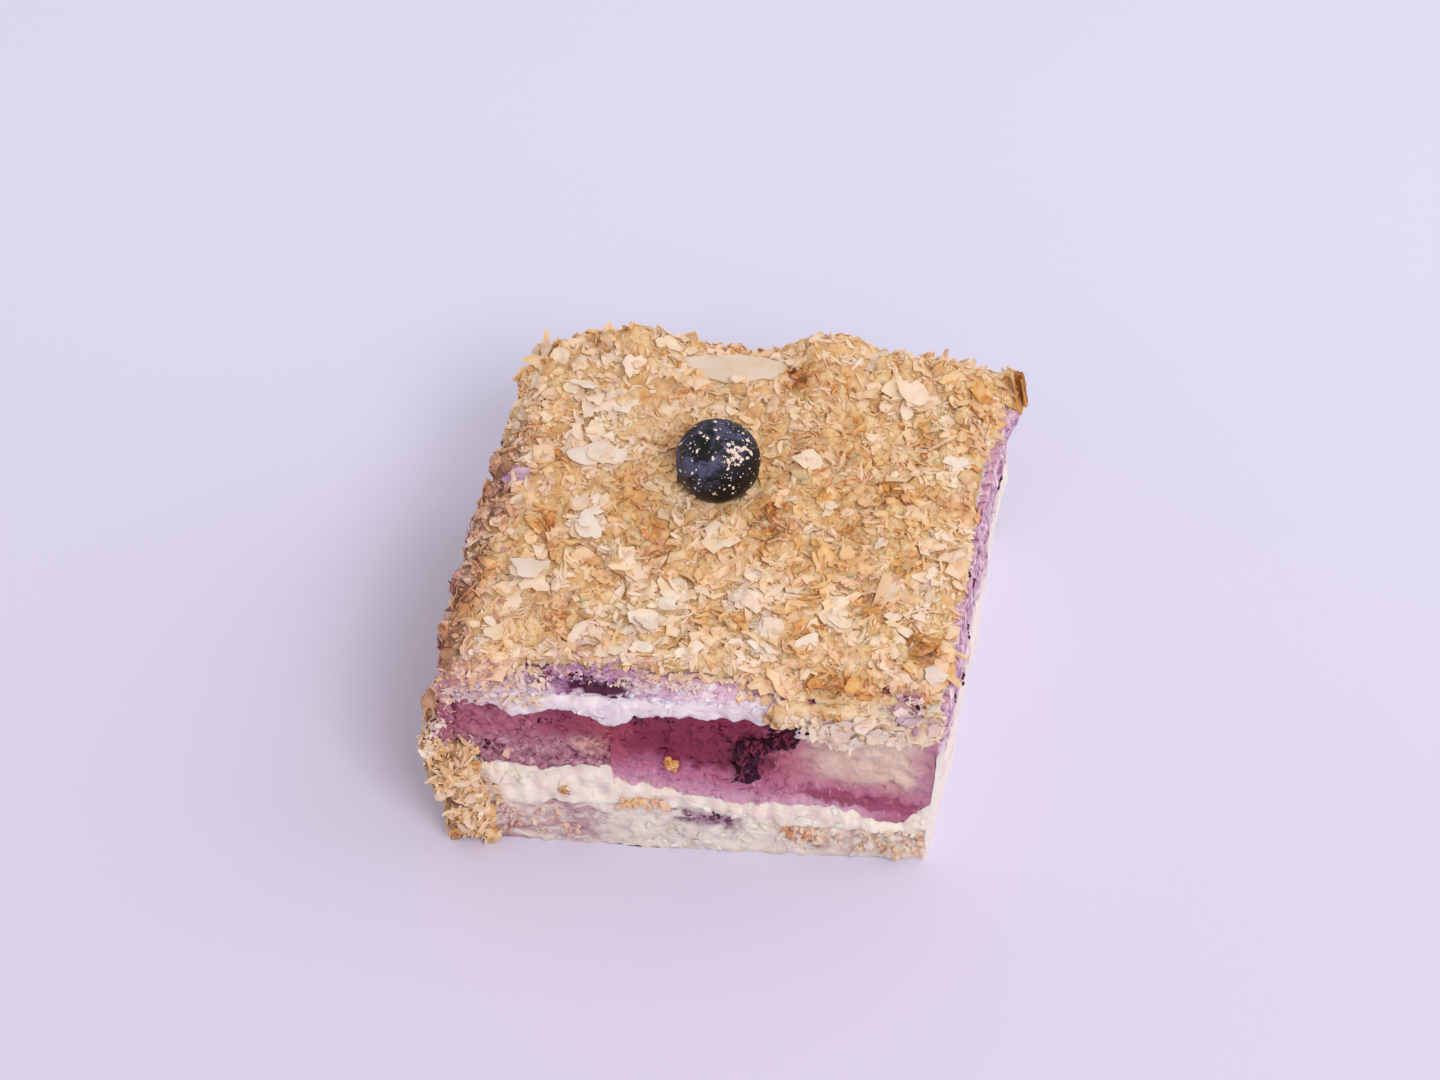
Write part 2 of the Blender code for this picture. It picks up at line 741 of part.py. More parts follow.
def make_flake(draw, skin, across, up):
    """An uneven thin plate that leans out of the coat's surface."""
    radius = draw.uniform(*FLAKE_RADIUS)
    thick = draw.uniform(*FLAKE_THICK)
    body = bmesh.new()
    bmesh.ops.create_circle(body, cap_ends=True, segments=FLAKE_SIDES, radius=1.0)
    made = bmesh.ops.extrude_face_region(body, geom=body.faces[:], use_keep_orig=True)
    lifted = {item for item in made["geom"] if isinstance(item, bmesh.types.BMVert)}
    ragged = [draw.uniform(0.72, 1.2) for _ in range(FLAKE_SIDES)]
    narrow = draw.uniform(0.55, 1.0)
    curl = draw.uniform(-0.12, 0.12)
    turn = Euler((draw.uniform(-0.5, 0.5), draw.uniform(-0.5, 0.5), draw.uniform(0, math.tau)))
    for vertex in body.verts:
        side = round(math.atan2(vertex.co.y, vertex.co.x) / math.tau * FLAKE_SIDES) % FLAKE_SIDES
        x = vertex.co.x * radius * ragged[side]
        y = vertex.co.y * radius * ragged[side] * narrow
        z = curl * x * x + (thick if vertex in lifted else 0.0)
        turned = turn.to_matrix() @ Vector((x, y, z))
        vertex.co = Vector(skin(across + turned.x, up + turned.y, turned.z - FLAKE_SINK))
    bmesh.ops.recalc_face_normals(body, faces=body.faces[:])
    return finished_object("flake", body)


def scatter(draw, counts, across, up, skin, allowed=None):
    """Flakes spread evenly over a rectangle of a skin, one in each cell of a grid."""
    flakes = []
    for i in range(counts[0]):
        for j in range(counts[1]):
            a = across[0] + (across[1] - across[0]) * (i + draw.uniform(0.15, 0.85)) / counts[0]
            b = up[0] + (up[1] - up[0]) * (j + draw.uniform(0.15, 0.85)) / counts[1]
            if allowed is None or allowed(a, b):
                flakes.append(make_flake(draw, skin, a, b))
    return flakes


def clear_of_berry(x, y):
    return math.hypot(x - BERRY_PLACE[0], y - BERRY_PLACE[1]) > BERRY_RADIUS - 1.0


def behind_bare_edge(x, y):
    """The lilac cream shows along the front edge, so no flake lies there."""
    bare = ramp(x, -41.0, -36.0) * ramp(x, 11.0, 6.0)
    return y > BLOCK_FRONT + 2.0 + 4.0 * bare


def make_flakes():
    draw = random.Random(FLAKE_SEED)
    right = BLOCK_LEFT + BLOCK_WIDTH
    top = scatter(
        draw,
        TOP_FLAKES,
        (BLOCK_LEFT + 0.5, right - 1.5),
        (BLOCK_FRONT + 1.0, BLOCK_BACK - 0.5),
        lambda x, y, out: top_skin(x + lean_at(y), y, out),
        lambda x, y: behind_bare_edge(x, y) and clear_of_berry(x + lean_at(y), y),
    )
    left = scatter(draw, LEFT_FLAKES, (BLOCK_FRONT, BLOCK_BACK), (3.0, 38.0), left_skin)
    back = scatter(draw, BACK_FLAKES, (BLOCK_LEFT + 1.0, right - 2.0), (3.0, 38.0), back_skin)
    lip = scatter(draw, LIP_FLAKES, (10.0, 33.0), (35.0, 40.0), face_skin)
    tuft = scatter(
        draw,
        TUFT_FLAKES,
        (1.0, 5.0),
        (4.0, 23.0),
        lambda across, up, out: face_skin(tuft_x(up, 0) + across, up, out),
    )
    return top + left + back + lip + tuft


def make_pale_sheet():
    """A smooth pale piece of pastry sheet that lies near the back, tilted to the front."""
    columns, rows = 8, 3
    length, width, thick = SHEET_SIZE

    def spot(column, row):
        along = (column / columns - 0.5) * length
        rounded = 1.0 - 0.35 * abs(2.0 * column / columns - 1.0) ** 3
        over = (row / rows - 0.5) * width * rounded
        return SHEET_CENTRE[0] + along, SHEET_CENTRE[1] + over, over

    level = crumb_top(*SHEET_CENTRE) - 0.1

    def under(column, row):
        x, y, over = spot(column, row)
        return (x, y, level + SHEET_SLOPE * over)

    def above(column, row):
        x, y, over = spot(column, row)
        return (x, y, level + thick + SHEET_SLOPE * over)

    return finished_object("pale sheet", closed_sheet(columns, rows, under, above))


def make_rolled_flake():
    """A browned curl of pastry that stands at the back right corner, open towards the front."""
    columns, rows = 8, 2
    turn = Matrix.Rotation(CURL_LEAN[0], 3, "X") @ Matrix.Rotation(CURL_LEAN[1], 3, "Y")
    corner = BLOCK_LEFT + BLOCK_WIDTH + lean_at(BLOCK_BACK)
    foot = Vector((corner + CURL_FROM_CORNER[0], BLOCK_BACK + CURL_FROM_CORNER[1], CURL_FOOT))

    def wall(radius):
        def place(column, row):
            angle = CURL_START + CURL_SWEEP * column / columns
            ring = Vector((radius * math.cos(angle), radius * math.sin(angle), 0.0))
            return foot + turn @ (ring + Vector((0.0, 0.0, CURL_HEIGHT * row / rows)))

        return place

    inner_radius, outer_radius = CURL_RADII
    body = closed_sheet(columns, rows, wall(inner_radius), wall(outer_radius))
    return finished_object("rolled flake", body)


def make_crumb_coat():
    coat = make_top_crumbs()
    parts = [make_left_crumbs(), make_back_crumbs(), make_lip(), make_tuft()]
    parts += [make_pale_sheet(), make_rolled_flake()]
    parts += make_flakes()
    fuse(coat, parts, solver="MANIFOLD")
    cut(coat, finished_object("berry seat", berry_body(GAP)), solver="MANIFOLD")
    pastry = finish_material("flaky_pastry", (0.68, 0.45, 0.26), 0.75)
    coat.data.materials.clear()
    coat.data.materials.append(pastry)
    return coat


# ---------------------------------------------------------------- assembly


def stand_on_origin(pieces):
    """Parents all pieces to an empty that puts the bottom centre of their box at the origin."""
    bpy.context.view_layer.update()
    corners = [piece.matrix_world @ Vector(c) for piece in pieces for c in piece.bound_box]
    low = [min(corner[i] for corner in corners) for i in range(3)]
    high = [max(corner[i] for corner in corners) for i in range(3)]
    stand = bpy.data.objects.new("cake_origin", None)
    bpy.context.scene.collection.objects.link(stand)
    stand.location = (-(low[0] + high[0]) / 2, -(low[1] + high[1]) / 2, -low[2])
    for piece in pieces:
        piece.parent = stand


def main():
    for item in list(bpy.data.objects):
        bpy.data.objects.remove(item)
    left, right = make_soaked_sponges()
    pieces = [make_base_sponge(), make_lower_cream(), left, right]
    pieces += [make_upper_cream(), make_berry_cream(), make_side_cream()]
    pieces += [make_crushed_berry(right), make_crumb_coat(), make_blueberry()]
    stand_on_origin(pieces)


main()
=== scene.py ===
import json
import math

import bmesh
import bpy
import numpy as np
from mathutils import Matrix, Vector, noise
from mathutils.bvhtree import BVHTree

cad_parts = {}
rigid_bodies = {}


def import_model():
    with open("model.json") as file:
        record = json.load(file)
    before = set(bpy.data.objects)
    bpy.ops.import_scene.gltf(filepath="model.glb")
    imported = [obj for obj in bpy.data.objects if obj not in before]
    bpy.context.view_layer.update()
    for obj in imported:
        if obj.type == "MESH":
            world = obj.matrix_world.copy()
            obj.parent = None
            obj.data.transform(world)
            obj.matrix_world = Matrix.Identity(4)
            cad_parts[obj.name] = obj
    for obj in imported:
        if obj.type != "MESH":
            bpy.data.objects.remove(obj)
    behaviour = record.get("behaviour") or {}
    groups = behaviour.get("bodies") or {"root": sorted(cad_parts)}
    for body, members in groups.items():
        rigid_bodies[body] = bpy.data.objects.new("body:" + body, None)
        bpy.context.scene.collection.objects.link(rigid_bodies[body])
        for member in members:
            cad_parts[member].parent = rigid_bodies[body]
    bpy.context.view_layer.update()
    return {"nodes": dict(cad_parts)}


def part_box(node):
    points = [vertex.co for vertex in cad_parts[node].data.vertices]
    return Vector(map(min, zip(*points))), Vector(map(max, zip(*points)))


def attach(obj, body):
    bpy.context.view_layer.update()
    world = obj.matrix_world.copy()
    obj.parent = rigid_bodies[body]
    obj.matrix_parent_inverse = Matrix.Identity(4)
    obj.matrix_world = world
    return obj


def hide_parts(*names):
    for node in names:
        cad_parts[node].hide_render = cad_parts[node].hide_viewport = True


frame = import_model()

# A square piece of layered berry cake. Places are millimetres on the cake: x along the cut face,
# y away from it, z up from the table. SHIFT takes them to the frame.
MM = 0.001
SLAB_LEFT = -44.2
SIDE_CREAM_FRONT = -38.2
SHIFT = Vector(
    (
        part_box("base_sponge")[0].x / MM - SLAB_LEFT,
        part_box("side_cream")[0].y / MM - SIDE_CREAM_FRONT,
        0.0,
    )
)
# The top's left edge runs back at a slant from the front: x at the middle, and x gained per y.
LEFT_AT_MIDDLE = -39.4
EDGE_SLANT = 0.121
BERRY_CENTRE = (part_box("blueberry")[0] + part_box("blueberry")[1]) / 2 / MM - SHIFT
BERRY_REACH = 7.6
# Everything on the top of the cake lies higher than this.
TOP_LEVEL = 38.0


def in_frame(x, y, z):
    return (Vector((x, y, z)) + SHIFT) * MM


def on_cake(point):
    return point / MM - SHIFT


def ramp(value, start, end):
    """0 at start and 1 at end, with a smooth rise between them."""
    share = min(1.0, max(0.0, (value - start) / (end - start)))
    return share * share * (3.0 - 2.0 * share)


def bell(value, centre, width):
    return math.exp(-(((value - centre) / width) ** 2))


def waver(a, b, size, salt=0.0):
    """A smooth uneven wave from about -0.5 to 0.5."""
    return noise.noise(Vector((a / size, b / size, salt))) * 0.7


def tint(red, green, blue):
    """A display colour as the linear colour a shader takes."""
    parts = [part / 255.0 for part in (red, green, blue)]
    return tuple(p / 12.92 if p < 0.04045 else ((p + 0.055) / 1.055) ** 2.4 for p in parts) + (1.0,)


# ---------------------------------------------------------------- finishes


class Wire:
    """A socket of a finish's nodes. Sums and products on it add the Math nodes for them."""

    def __init__(self, finish, socket):
        self.finish = finish
        self.socket = socket

    def maths(self, operation, *others):
        inputs = {0: self}
        inputs.update({i + 1: other for i, other in enumerate(others)})
        return self.finish.node("ShaderNodeMath", {"operation": operation}, inputs)

    def __add__(self, other):
        return self.maths("ADD", other)

    def __radd__(self, other):
        return self.maths("ADD", other)

    def __sub__(self, other):
        return self.maths("SUBTRACT", other)

    def __rsub__(self, other):
        return (self * -1.0).maths("ADD", other)

    def __mul__(self, other):
        return self.maths("MULTIPLY", other)

    def __rmul__(self, other):
        return self.maths("MULTIPLY", other)

    def __truediv__(self, other):
        return self.maths("DIVIDE", other)

    def __pow__(self, other):
        return self.maths("POWER", other)

    def __abs__(self):
        return self.maths("ABSOLUTE")

    def at_least(self, other):
        return self.maths("MAXIMUM", other)

    def ramp(self, start, end):
        """0 at start and 1 at end, with a smooth rise between them."""
        settings = {"interpolation_type": "SMOOTHSTEP", "clamp": True}
        inputs = {"Value": self, "From Min": start, "From Max": end}
        if start > end:
            inputs = {"Value": self, "From Min": end, "From Max": start, "To Min": 1.0, "To Max": 0.0}
        return self.finish.node("ShaderNodeMapRange", settings, inputs)

    def near(self, centre, width):
        """1 at the centre and 0 at one width from it."""
        return abs(self - centre).ramp(width, 0.0)


class Finish:
    """A material with one Principled shader, whose patterns run in millimetres on the cake."""

    # Where a Mix node takes and gives colours.
    FIRST_COLOUR = 6
    SECOND_COLOUR = 7
    MIXED_COLOUR = 2

    def __init__(self, name, **shader_values):
        self.material = bpy.data.materials.new(name)
        self.material.use_nodes = True
        self.tree = self.material.node_tree
        self.shader = self.tree.nodes["Principled BSDF"]
        for socket, value in shader_values.items():
            self.shader.inputs[socket.replace("_", " ")].default_value = value
        place = self.node("ShaderNodeTexCoord", {}, {}, "Object")
        self.place = self.node(
            "ShaderNodeMapping",
            {"vector_type": "POINT"},
            {"Vector": place, "Location": tuple(-SHIFT), "Scale": (1 / MM, 1 / MM, 1 / MM)},
        )
        self.x, self.y, self.z = (
            self.node("ShaderNodeSeparateXYZ", {}, {"Vector": self.place}, axis) for axis in "XYZ"
        )

    def node(self, kind, settings, inputs, output=0):
        made = self.tree.nodes.new(kind)
        for name, value in settings.items():
            if name == "stops":
                self.set_stops(made.color_ramp, value)
            else:
                setattr(made, name, value)
        for name, value in inputs.items():
            if isinstance(value, Wire):
                self.tree.links.new(value.socket, made.inputs[name])
            else:
                made.inputs[name].default_value = value
        return Wire(self, made.outputs[output])

    @staticmethod
    def set_stops(scale, stops):
        while len(scale.elements) < len(stops):
            scale.elements.new(0.5)
        for element, (position, colour) in zip(scale.elements, stops):
            element.position = position
            element.color = colour

    def noise(self, size, detail=3.0, rough=0.55, place=None, distort=0.0):
        inputs = {
            "Vector": place or self.place,
            "Scale": 1.0 / size,
            "Detail": detail,
            "Roughness": rough,
            "Distortion": distort,
        }
        return self.node("ShaderNodeTexNoise", {}, inputs, "Fac")

    def stretched(self, x, y, z):
        """The place with each axis scaled, for patterns that are drawn out along one axis."""
        return self.node(
            "ShaderNodeVectorMath", {"operation": "MULTIPLY"}, {0: self.place, 1: (x, y, z)}
        )

    def drawn_on(self, name):
        """A number kept on the mesh's points."""
        return self.node("ShaderNodeAttribute", {"attribute_name": name}, {}, "Fac")

    def scale(self, factor, stops):
        return self.node("ShaderNodeValToRGB", {"stops": stops}, {"Fac": factor}, "Color")

    def mix(self, share, first, second):
        settings = {"data_type": "RGBA", "clamp_factor": True}
        inputs = {0: share, self.FIRST_COLOUR: first, self.SECOND_COLOUR: second}
        return self.node("ShaderNodeMix", settings, inputs, self.MIXED_COLOUR)

    def ground(self, share, first, second):
        """The two colours that lie under all the others."""
        self.colour = self.mix(share, tint(*first), tint(*second))

    def lay(self, share, red, green, blue):
        """Lays one more colour over what is there."""
        self.colour = self.mix(share, self.colour, tint(red, green, blue))

    def from_left_edge(self):
        """How far in from the top's left edge a place lies."""
        return self.x - self.y * EDGE_SLANT - LEFT_AT_MIDDLE

    def spread(self, rough, bump=None, bump_height=0.0003, strength=0.6):
        """Ends the finish: its colour, its roughness and its fine relief."""
        self.tree.links.new(self.colour.socket, self.shader.inputs["Base Color"])
        self.tree.links.new(rough.socket, self.shader.inputs["Roughness"])
        if bump is not None:
            inputs = {"Height": bump, "Distance": bump_height, "Strength": strength}
            raised = self.node("ShaderNodeBump", {}, inputs)
            self.tree.links.new(raised.socket, self.shader.inputs["Normal"])
        return self.material


def finish_plain_sponge():
    """Pale open sponge, stained mauve at the left and dusted with pastry at the right."""
    f = Finish("plain_sponge_crumb", Subsurface_Weight=0.25, Subsurface_Scale=0.0012, Specular_IOR_Level=0.25)
    broad = f.noise(4.5, 4.0)
    fine = f.noise(1.2, 4.0, 0.65)
    f.ground(broad.ramp(0.35, 0.65), (235, 225, 215), (220, 207, 198))
    f.lay(fine.ramp(0.52, 0.7) * 0.2, 206, 184, 168)
    stain = f.noise(3.4, 4.0, 0.6, place=f.stretched(0.6, 1.0, 1.6))
    left = f.x.ramp(-14.0, -26.0) * stain.ramp(0.4, 0.6)
    f.lay(left * 0.85, 176, 130, 144)
    f.lay(left * fine.ramp(0.54, 0.66) * 0.6, 128, 76, 98)
    streak = f.x.near(-3.5, 9.0).ramp(0.0, 0.6) * (f.z + f.x * 0.16).near(8.2, 2.6) * stain.ramp(0.4, 0.54)
    f.lay(streak * 0.9, 150, 106, 136)
    f.lay(streak * fine.ramp(0.46, 0.58), 84, 44, 72)
    dust = f.x.ramp(4.0, 14.0) * f.z.ramp(1.0, 3.0) * f.noise(2.2, 4.0).ramp(0.4, 0.6)
    f.lay(dust * 0.72, 188, 148, 128)
    foot = f.z.ramp(1.4, 0.0) * f.noise(3.0, 3.0).ramp(0.4, 0.6)
    f.lay(foot * 0.5, 196, 166, 134)
    # Painted shade in the sponge's pits.
    f.lay(f.drawn_on("pit").ramp(0.2, 1.0) * 0.3, 176, 150, 140)
    return f.spread(0.7 + fine * 0.25, fine + broad * 0.5, 0.0003, 0.5)


def finish_white_cream(name, warm, shade, lilac_share):
    """Whipped cream with soft folds, shaded in its hollows."""
    f = Finish(name, Subsurface_Weight=0.35, Subsurface_Scale=0.0015, Specular_IOR_Level=0.35)
    folds = f.noise(3.2, 4.0, 0.6, place=f.stretched(1.1, 1.0, 0.9), distort=0.6)
    fine = f.noise(0.7, 3.0, 0.6)
    f.ground(folds.ramp(0.38, 0.68), warm, shade)
    smear = f.noise(3.0, 4.0, 0.6, place=f.stretched(0.4, 1.0, 1.8), distort=1.2)
    f.lay(smear.ramp(0.58, 0.76) * lilac_share, 204, 170, 196)
    f.lay(f.drawn_on("pit").ramp(0.25, 1.0) * 0.4, 214, 192, 190)
    return f, folds, fine


def finish_lower_cream():
    f, folds, fine = finish_white_cream(
        "lower_cream_folds", (250, 238, 222), (236, 216, 206), 0.15
    )
    beige = f.x.near(-14.0, 5.0).ramp(0.0, 0.7) * f.z.near(12.6, 2.0) * fine.ramp(0.35, 0.6)
    f.lay(beige, 226, 196, 158)
    return f.spread(0.5 + fine * 0.3, folds + fine * 0.4, 0.0007, 0.6)


def finish_upper_cream():
    f, folds, fine = finish_white_cream(
        "upper_cream_folds", (246, 232, 234), (224, 206, 216), 0.3
    )
    # The crack's floor is painted dark purple: berry jam, and painted shade inside the crack.
    crack_jam_and_shade = f.x.near(-22.0, 8.0).ramp(0.0, 0.6) * f.z.ramp(37.5, 37.9) * f.y.ramp(-37.4, -36.9)
    f.lay(crack_jam_and_shade, 84, 24, 58)
    dusty = f.x.ramp(-32.0, -38.0) * f.noise(1.6, 3.0).ramp(0.4, 0.55)
    f.lay(dusty * 0.8, 214, 182, 176)
    return f.spread(0.5 + fine * 0.3, folds + fine * 0.3, 0.0006, 0.5)


def finish_mauve_sponge():
    """Soaked sponge, dark along its top and at the seam, greyer and full of pits below."""
    f = Finish("mauve_sponge_crumb", Subsurface_Weight=0.25, Subsurface_Scale=0.001, Specular_IOR_Level=0.35)
    broad = f.noise(2.6, 4.0, 0.65)
    fine = f.noise(1.0, 4.0, 0.7)
    spots = f.noise(1.5, 4.0, 0.65, distort=0.5)
    height = f.z + (broad - 0.5) * 6.0
    f.ground(height.ramp(24.0, 30.0), (172, 116, 134), (174, 94, 118))
    f.lay(broad.ramp(0.45, 0.66) * 0.5, 198, 144, 160)
    deep = f.x.ramp(-33.0, -27.0) * height.ramp(26.0, 30.5)
    f.lay(deep * 0.8, 140, 50, 78)
    edge = height.ramp(32.4, 34.6) * f.x.ramp(-46.0, -38.0)
    f.lay(edge * 0.6, 126, 42, 74)
    seam = f.x.ramp(-24.0, -19.0) * height.ramp(20.0, 25.0)
    f.lay(seam * 0.55, 176, 88, 98)
    beige = f.x.near(-22.6, 4.4).ramp(0.0, 0.8) * (f.z + f.x * 0.4).near(17.4, 3.2) * fine.ramp(0.3, 0.6)
    f.lay(beige * 0.9, 214, 168, 152)
    low = height.ramp(28.0, 25.0)
    f.lay(spots.ramp(0.52, 0.64) * low * 0.85, 108, 44, 72)
    f.lay(spots.ramp(0.46, 0.34) * low * 0.7, 226, 192, 198)
    f.lay(fine.ramp(0.6, 0.74) * 0.2, 130, 56, 86)
    # Painted shade in the sponge's pits.
    f.lay(f.drawn_on("pit").ramp(0.15, 0.9) * 0.4, 110, 44, 70)
    return f.spread(0.5 + fine * 0.35, fine + spots * 0.6, 0.0004, 0.6)


def finish_magenta_sponge():
    """Soaked sponge: deep magenta above, fading to lilac at the bottom, round a pale dry heart."""
    f = Finish("magenta_sponge_crumb", Subsurface_Weight=0.25, Subsurface_Scale=0.001, Specular_IOR_Level=0.4)
    broad = f.noise(2.8, 4.0, 0.65)
    fine = f.noise(1.0, 4.0, 0.7)
    streaks = f.noise(1.4, 3.0, 0.6, place=f.stretched(1.4, 1.0, 0.4))
    sideways = f.noise(3.6, 4.0, 0.6, place=f.stretched(0.8, 1.0, 1.5))
    x = f.x + (sideways - 0.5) * 7.0
    z = f.z + (broad - 0.5) * 5.0
    bottom = (x.ramp(-18.0, 4.0) * -3.8 + 16.6) - x.ramp(19.0, 29.5) * 4.2
    above = z - bottom
    f.ground(above.ramp(0.0, 6.5), (214, 162, 186), (188, 110, 142))
    f.lay(above.ramp(6.5, 11.0) * x.ramp(12.0, 4.0), 132, 38, 72)
    bright = x.near(9.5, 7.0).ramp(0.0, 0.8) * z.near(26.0, 7.0).ramp(0.0, 0.8)
    f.lay(bright * 0.75, 182, 82, 108)
    at_seam = x.near(-17.4, 2.6).ramp(0.0, 0.8) * z.ramp(20.0, 25.0)
    f.lay(at_seam * 0.6, 172, 74, 92)
    low_line = 20.4 - (x - 11.0).at_least(0.0) * 0.22
    over = z - low_line
    halo = x.ramp(5.0, 15.0) * x.ramp(37.0, 31.4) * over.ramp(-2.6, 2.4)
    f.lay(halo * 0.85, 188, 130, 140)
    heart = x.ramp(10.5, 18.5) * x.ramp(35.0, 31.0) * over.ramp(0.4, 5.2)
    pale = f.mix(broad.ramp(0.4, 0.64), tint(228, 202, 186), tint(212, 184, 168))
    f.colour = f.mix(heart * 0.95, f.colour, pale)
    band = over.near(-2.9, 2.8) * x.ramp(9.0, 16.0) * x.ramp(37.0, 34.0)
    f.lay(band.ramp(0.0, 0.7) * 0.85, 146, 50, 82)
    under_tip = x.ramp(20.0, 28.0) * over.ramp(-0.6, -3.0)
    f.lay(under_tip * 0.7, 166, 78, 110)
    tip = x.ramp(29.4, 33.0) * over.ramp(-2.0, 1.0)
    f.lay(tip * 0.75, 184, 124, 148)
    wet = f.x.near(4.5, 8.0).ramp(0.1, 0.7) * f.z.near(27.0, 8.5).ramp(0.1, 0.7)
    f.lay(wet * broad.ramp(0.44, 0.56) * 0.75, 92, 24, 56)
    dry = 1.0 - heart * 0.85
    f.lay(streaks.ramp(0.44, 0.28) * above.ramp(9.0, 5.0) * 0.6, 230, 188, 202)
    f.lay(streaks.ramp(0.58, 0.72) * dry * 0.35, 118, 36, 70)
    f.lay(fine.ramp(0.6, 0.74) * dry * 0.2, 118, 36, 70)
    # Painted shade in the sponge's pits, mostly left out of the pale heart.
    f.lay(f.drawn_on("pit").ramp(0.15, 0.9) * dry * 0.3, 112, 34, 66)
    return f.spread(0.45 + fine * 0.35, fine + broad * 0.6, 0.0004, 0.6)


def finish_lilac_cream():
    """Berry cream streaked from white over lilac to purple."""
    f = Finish("lilac_cream_streaks", Subsurface_Weight=0.3, Subsurface_Scale=0.0012, Specular_IOR_Level=0.35)
    streaks = f.noise(2.2, 5.0, 0.65, place=f.stretched(0.6, 0.9, 1.5), distort=1.2)
    fine = f.noise(0.7, 3.0, 0.6)
    high = (f.z + (streaks - 0.5) * 4.0).ramp(38.4, 40.0)
    f.ground(streaks.ramp(0.34, 0.52) * high, (246, 230, 236), (214, 178, 202))
    f.lay(streaks.ramp(0.54, 0.66) * high, 170, 114, 158)
    purple = f.x.near(-23.0, 14.0).ramp(0.0, 0.6) * f.z.near(40.5, 2.0) * streaks.ramp(0.34, 0.46)
    f.lay(purple, 128, 68, 114)
    # A dark purple slit painted on the cream: painted shade of a crack, in the berry jam's colour.
    shaded_slit = abs(f.z + f.x * 0.06 - 38.35) * 2.3 + ((f.x + 20.6) / 5.2) ** 2.0
    f.lay(shaded_slit.ramp(1.3, 0.7), 76, 14, 50)
    return f.spread(0.45 + fine * 0.3, streaks + fine * 0.4, 0.0004, 0.5)


def finish_side_cream():
    """Cream smoothed down the right side, with berry streaks along its top."""
    f, folds, fine = finish_white_cream(
        "side_cream_smooth", (248, 234, 222), (236, 219, 214), 0.2
    )
    along = f.noise(2.4, 5.0, 0.7, distort=1.0)
    spots = f.noise(1.5, 4.0, 0.65)
    high = (f.z + (along - 0.5) * 12.0).ramp(26.0, 32.0)
    f.lay(high * along.ramp(0.34, 0.46) * 0.9, 200, 154, 180)
    f.lay(high * along.ramp(0.5, 0.58), 152, 94, 134)
    f.lay(high * spots.ramp(0.56, 0.64) * 0.9, 236, 214, 222)
    f.lay(high * spots.ramp(0.4, 0.33) * along.ramp(0.46, 0.54), 92, 40, 78)
    return f.spread(0.45 + fine * 0.3, folds + fine * 0.2, 0.0005, 0.4)


# The pastry's colours, from the palest flake to the brownest.
PASTRY_TONES = (
    (0.0, tint(240, 226, 210)),
    (0.3, tint(238, 208, 177)),
    (0.5, tint(231, 187, 137)),
    (0.68, tint(216, 152, 84)),
    (0.84, tint(186, 112, 58)),
    (1.0, tint(132, 72, 46)),
)


def finish_pastry():
    """Baked pastry whose tone is kept on each flake, with blisters and fine layers, and painted shade along
    the top's left edge.
    """
    f = Finish("flaky_pastry_tones", Specular_IOR_Level=0.25)
    grain = f.noise(1.1, 3.0, 0.6)
    f.colour = f.scale(f.drawn_on("tone") + (grain - 0.5) * 0.3, PASTRY_TONES)
    hue = f.noise(5.0, 3.0, 0.6)
    f.lay(hue.ramp(0.5, 0.62) * 0.28, 238, 198, 128)
    f.lay(hue.ramp(0.5, 0.38) * 0.2, 240, 206, 196)
    # Painted shade in patches along the top's left edge, which faces away from the light.
    gaps = f.from_left_edge().ramp(1.4, -1.4) * f.y.ramp(26.0, 14.0) * f.noise(1.5, 3.0, 0.6).ramp(0.42, 0.58)
    gaps = gaps * f.y.ramp(-38.0, -34.0)
    f.lay(gaps * 0.6, 124, 86, 74)
    f.lay(f.drawn_on("stain"), 176, 120, 174)
    layers = f.noise(0.35, 2.0, place=f.stretched(0.5, 0.5, 2.4))
    return f.spread(0.6 + grain * 0.3, layers + grain, 0.00012, 0.4)


def finish_crumb_bed():
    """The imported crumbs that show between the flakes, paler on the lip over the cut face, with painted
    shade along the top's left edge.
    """
    f = Finish(
        "crumb_bed", Subsurface_Weight=0.6, Subsurface_Scale=0.0016, Subsurface_Radius=(1.0, 0.55, 0.3),
        Specular_IOR_Level=0.25,
    )
    broad = f.noise(3.4, 4.0)
    fine = f.noise(1.0, 4.0, 0.65)
    f.ground(broad.ramp(0.38, 0.62), (236, 204, 160), (222, 178, 126))
    f.lay(fine.ramp(0.5, 0.72) * 0.6, 190, 132, 76)
    # Painted shade along the top's left edge, which faces away from the light.
    f.lay(f.from_left_edge().ramp(2.6, -0.6) * f.y.ramp(24.0, 10.0) * 0.7, 142, 98, 78)
    at_curl = f.x.ramp(43.9, 44.4) * f.y.ramp(27.0, 28.0) * f.z.ramp(37.0, 38.0)
    f.lay(at_curl * 0.8, 188, 130, 66)
    lip = f.x.ramp(6.0, 12.0) * f.y.ramp(-37.0, -38.4) * f.z.ramp(41.6, 39.6)
    f.lay(lip * 0.85, 240, 218, 198)
    beside = f.x.ramp(-38.0, -40.0) * f.y.ramp(-36.0, -37.6) * f.z.ramp(25.0, 28.0)
    soaked = f.mix(broad.ramp(0.4, 0.6), tint(182, 108, 130), tint(142, 60, 88))
    dusted = f.mix(broad.ramp(0.4, 0.6), tint(226, 196, 192), tint(186, 132, 150))
    f.colour = f.mix(beside, f.colour, f.mix((f.z + fine * 3.0).ramp(36.6, 38.6), soaked, dusted))
    return f.spread(0.7 + fine * 0.25, fine + broad * 0.4, 0.0004, 0.6)


